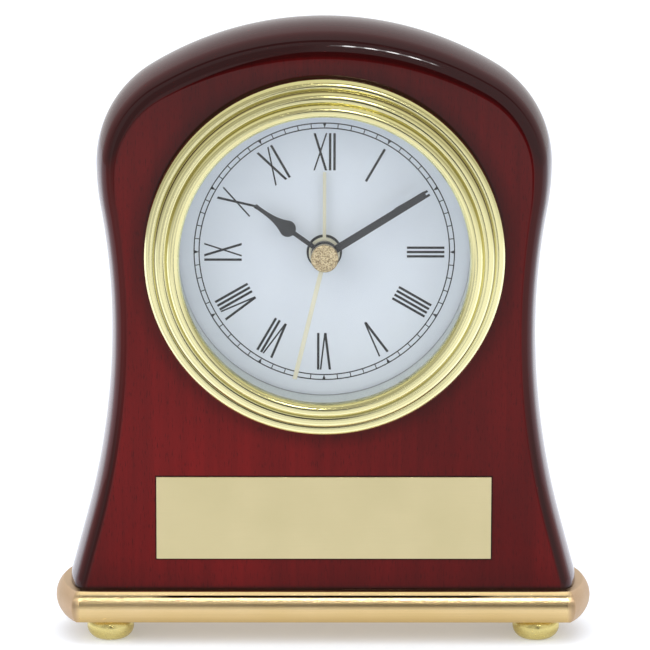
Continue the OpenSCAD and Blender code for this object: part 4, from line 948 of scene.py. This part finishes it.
make_hour_hand()
make_hub("hour_collar", "hour_train", GREY_HAND, HOUR_HUB, HOUR_Z, "hour_hand")
make_blade("minute_blade", "minute_train", GREY_HAND, MINUTE_BLADE, MINUTE_Z, MINUTE_ANGLE)
make_hub("minute_collar", "minute_train", GREY_HAND, MINUTE_HUB, MINUTE_Z, "minute_hand")
make_blade("alarm_blade", "alarm_train", CREAM_HAND, ALARM_BLADE, ALARM_Z, ALARM_ANGLE)
make_hub("alarm_collar", "alarm_train", CREAM_HAND, ALARM_HUB, ALARM_Z, "alarm_hand")
make_blade("second_blade", "second_train", CREAM_HAND, SECOND_BLADE, SECOND_Z,
           SECOND_ANGLE, ("second_hand",))


def make_cap():
    """A short cup over the second hand's hub, rounded at its edge and close under the glass."""
    r, bore, gap, edge, chamfer, flat = 3.65, 0.5, 0.5, 0.45, 0.1, 1.2
    z0, z1 = SECOND_Z + HAND_T, LENS_Z - gap
    profile = [(bore, z0), (r - chamfer, z0), (r, z0 + chamfer)]
    profile += arc(r - edge, z1 - edge, edge, 0, 90, CAP_STEPS)
    profile += [(r - flat, z1), (0, z1), (0, z1 - bore), (bore, z1 - bore)]
    verts, faces = lathe(profile, SMALL_TURN, insert)
    piece("gold_cap", verts, faces, CAP, "second_train", ("hand_cap",), sharp=35)


make_cap()


# Floor, world and lamps

FLOOR_W, FLOOR_FRONT, FLOOR_SPLIT, FLOOR_BACK = 3.0, -0.8, -0.05, 1.8
FLOOR_GLOW = 0.28  # what lifts the floor to white for the camera and in reflections
FILL = 0.88  # the world's strength on matt surfaces
MIRROR_Z = 0.19  # how far below level lies the direction that the flat face mirrors
LEAST_REACH, LEAST_Z = 0.001, 0.01  # keep divisors off zero
# In gloss: strengths, and how much each dim area takes away
GLOSS, OVERHEAD, PANE = 0.97, 0.32, 40.0
GROUND_DIM, FRONT_DIM, LEFT_DIM, SCREEN_DIM, FRAME_DIM, SIDE_DIM = 0.15, 0.42, 0.4, 0.98, 0.75, 0.25
# The black screen's inner radius and width, and their changes upward and to the right
SCREEN_R, SCREEN_R_UP, SCREEN_R_RIGHT = 0.5, 0.41, 0.32
SCREEN_W, SCREEN_W_UP, SCREEN_W_RIGHT, SCREEN_BLUR = 0.035, 0.23, 0.1, 0.04
# The bright line: from and to, by distance and to the right, with its dashes
PANE_REACH, PANE_ASIDE, PANE_DASHES, BETWEEN_DASHES = (0.74, 0.79), (0.05, 0.33), 95, 0.25
# The box overhead, its dark line, the ground and the sides: from and to
BOX_EDGE, FRAME_LINE, GROUND_EDGE, SIDE_RANGE = (0.42, 0.8), (0.66, 0.88), (0.3, 0.95), (-0.45, 0.85)


def floor_material():
    mat, shader, g = new_material("floor_pale", (0.77, 0.81, 0.89, 1), 0.9)
    shader.inputs["Specular IOR Level"].default_value = 0.0
    shader.inputs["Emission Color"].default_value = (1, 1, 1, 1)
    path = g.add("ShaderNodeLightPath")
    seen = g.larger(path.outputs["Is Camera Ray"], path.outputs["Is Glossy Ray"])
    g.link(g.times(seen, FLOOR_GLOW), shader.inputs["Emission Strength"])
    return mat


FLOOR = floor_material()


def make_floor(name, front, back):
    side = FLOOR_W / 2
    mesh = bpy.data.meshes.new(name)
    mesh.from_pydata([(-side, front, 0), (side, front, 0), (side, back, 0), (-side, back, 0)], [],
                     [(0, 1, 2, 3)])
    floor = bpy.data.objects.new(name, mesh)
    bpy.context.scene.collection.objects.link(floor)
    mesh.materials.append(FLOOR)
    return floor


def reflections(g):
    """What glossy surfaces see of the studio, by direction: z is up and -y is where the camera stands."""
    where = g.add("ShaderNodeTexCoord")
    x, y, z = g.split(where.outputs["Generated"])
    forward = g.times(y, -1)
    ahead = g.step(forward, 0.1, 0.3)
    # Distance from the direction that the flat face mirrors, and its shares up and to the right
    rise = g.plus(z, MIRROR_Z)
    reach = g.length(x, rise)
    upward = g.math("DIVIDE", rise, g.larger(reach, LEAST_REACH))
    aside = g.math("DIVIDE", x, g.larger(reach, LEAST_REACH))
    high = g.step(upward, -0.15, 0.1)
    # A black screen round that direction, from an inner radius outward, wider up and to the right
    right = g.step(aside, -0.55, 0.0)
    inner = g.minus(SCREEN_R, g.times(upward, SCREEN_R_UP))
    inner = g.minus(inner, g.times(g.times(right, SCREEN_R_RIGHT), g.minus(1, upward)))
    wide = g.plus(SCREEN_W_RIGHT, g.times(g.larger(upward, 0), SCREEN_W_UP))
    width = g.plus(g.times(right, wide), SCREEN_W)
    inside = g.math("DIVIDE", g.minus(reach, inner), width)
    screen = g.times(g.times(g.window(inside, 0.0, 1.0, SCREEN_BLUR), ahead), high)
    # The thin bright line on the top edge, broken into dashes
    pane = g.times(g.window(reach, *PANE_REACH, 0.006), g.times(g.window(aside, *PANE_ASIDE, 0.03), ahead))
    dashes = g.plus(BETWEEN_DASHES, g.step(g.math("SINE", g.times(aside, PANE_DASHES)), -0.5, 0.3))
    pane = g.times(g.times(pane, dashes), high)
    # A soft box overhead with a dark frame line, dim ground, dim sides and two dim areas in front
    overhead = g.step(g.plus(z, g.times(y, 0.35)), *BOX_EDGE)
    frame_line = g.window(g.math("DIVIDE", forward, g.larger(z, LEAST_Z)), *FRAME_LINE, 0.03)
    ground = g.times(g.step(g.times(z, -1), *GROUND_EDGE), GROUND_DIM)
    sides = g.times(g.window(y, *SIDE_RANGE, 0.15), g.minus(1, g.step(z, 0.1, 0.6)))
    sides = g.times(sides, g.step(g.absolute(x), 0.35, 0.8))
    sides = g.times(sides, g.plus(0.05, g.times(g.step(g.times(x, -1), -0.1, 0.1), SIDE_DIM)))
    front = g.times(g.minus(1, g.step(z, -0.26, -0.14)), g.minus(1, g.step(reach, 0.1, 0.4)))
    left = g.times(g.window(reach, 0.42, 0.8, 0.04), g.minus(1, g.step(x, -0.06, 0.02)))
    soft = g.minus(g.minus(GLOSS, ground), sides)
    soft = g.minus(soft, g.times(g.times(front, ahead), FRONT_DIM))
    soft = g.plus(soft, g.times(overhead, OVERHEAD))
    soft = g.minus(soft, g.times(g.times(left, high), g.times(ahead, LEFT_DIM)))
    soft = g.times(soft, g.minus(1, g.times(screen, SCREEN_DIM), clamp=True))
    soft = g.times(soft, g.minus(1, g.times(frame_line, FRAME_DIM), clamp=True))
    return g.plus(soft, g.times(pane, PANE))


def make_world():
    """White for the camera and through the glass, a soft fill on matt surfaces, the studio in gloss."""
    world = bpy.data.worlds.new("studio")
    bpy.context.scene.world = world
    world.use_nodes = True
    world.node_tree.nodes.clear()
    g = Graph(world.node_tree)
    out = g.add("ShaderNodeOutputWorld")
    shade = g.add("ShaderNodeBackground")
    g.link(shade.outputs[0], out.inputs["Surface"])
    path = g.add("ShaderNodeLightPath")
    gloss = path.outputs["Is Glossy Ray"]
    seen = g.larger(path.outputs["Is Camera Ray"], path.outputs["Is Transmission Ray"])
    fill = g.times(g.minus(g.minus(1, gloss), seen, clamp=True), FILL)
    g.link(g.plus(g.plus(seen, g.times(gloss, reflections(g))), fill), shade.inputs["Strength"])
    shade.inputs["Color"].default_value = (1, 1, 1, 1)


# Lamps: name, place and target in metres, size, watts
LAMP_TARGET = (0, 0, 0.09)
LAMPS = (("top_box", (0.0, -0.25, 1.5), (0, 0, 0.08), (1.5, 1.2), 7),
         ("left_box", (-1.3, -1.0, 0.9), LAMP_TARGET, (1.3, 1.3), 8),
         ("right_box", (1.3, -1.0, 0.9), LAMP_TARGET, (1.3, 1.3), 4),
         ("back_box", (0.2, 1.4, 1.1), LAMP_TARGET, (1.2, 0.8), 4))


def lamp(name, place, target, size, watts):
    """A soft box that lights matt surfaces. Glossy ones see the world's reflections instead."""
    data = bpy.data.lights.new(name, "AREA")
    data.shape = "RECTANGLE"
    data.size, data.size_y = size
    data.energy = watts
    obj = bpy.data.objects.new(name, data)
    obj.location = place
    obj.rotation_euler = (Vector(target) - Vector(place)).to_track_quat("-Z", "Y").to_euler()
    obj.visible_glossy = False
    bpy.context.scene.collection.objects.link(obj)


make_floor("floor", FLOOR_SPLIT, FLOOR_BACK)
# Gloss doesn't show the floor in front: the base would be too bright with it
make_floor("floor_ahead", FLOOR_FRONT, FLOOR_SPLIT).visible_glossy = False
make_world()
for values in LAMPS:
    lamp(*values)


# Camera, at the photograph's angle

PHOTO_SIDE, SENSOR_W = 650, 36
CAMERA_AWAY, CAMERA_UP, CAMERA_LEFT = 1200.0, 217.1, 10.5
CAMERA_PITCH, CAMERA_TURN, CAMERA_ROLL, CAMERA_FOCUS_PX = 11.11, 0.510, 0.15, 4640.0


def make_camera():
    """Stands in front of the wood's face, above the dial and a little to the left."""
    data = bpy.data.cameras.new("camera")
    data.sensor_fit = "HORIZONTAL"
    data.sensor_width = SENSOR_W
    data.lens = CAMERA_FOCUS_PX / PHOTO_SIDE * SENSOR_W
    data.clip_start, data.clip_end = 0.05, 20
    obj = bpy.data.objects.new("camera", data)
    obj.location = metres(-CAMERA_LEFT, FACE_Y - CAMERA_AWAY, DIAL_Z + CAMERA_UP)
    aim = Euler((math.radians(90 - CAMERA_PITCH), 0, -math.radians(CAMERA_TURN))).to_matrix()
    obj.rotation_euler = (aim @ Matrix.Rotation(math.radians(CAMERA_ROLL), 3, "Z")).to_euler()
    bpy.context.scene.collection.objects.link(obj)
    bpy.context.scene.camera = obj


make_camera()
bpy.context.scene.view_settings.view_transform = "Standard"

bpy.context.view_layer.update()
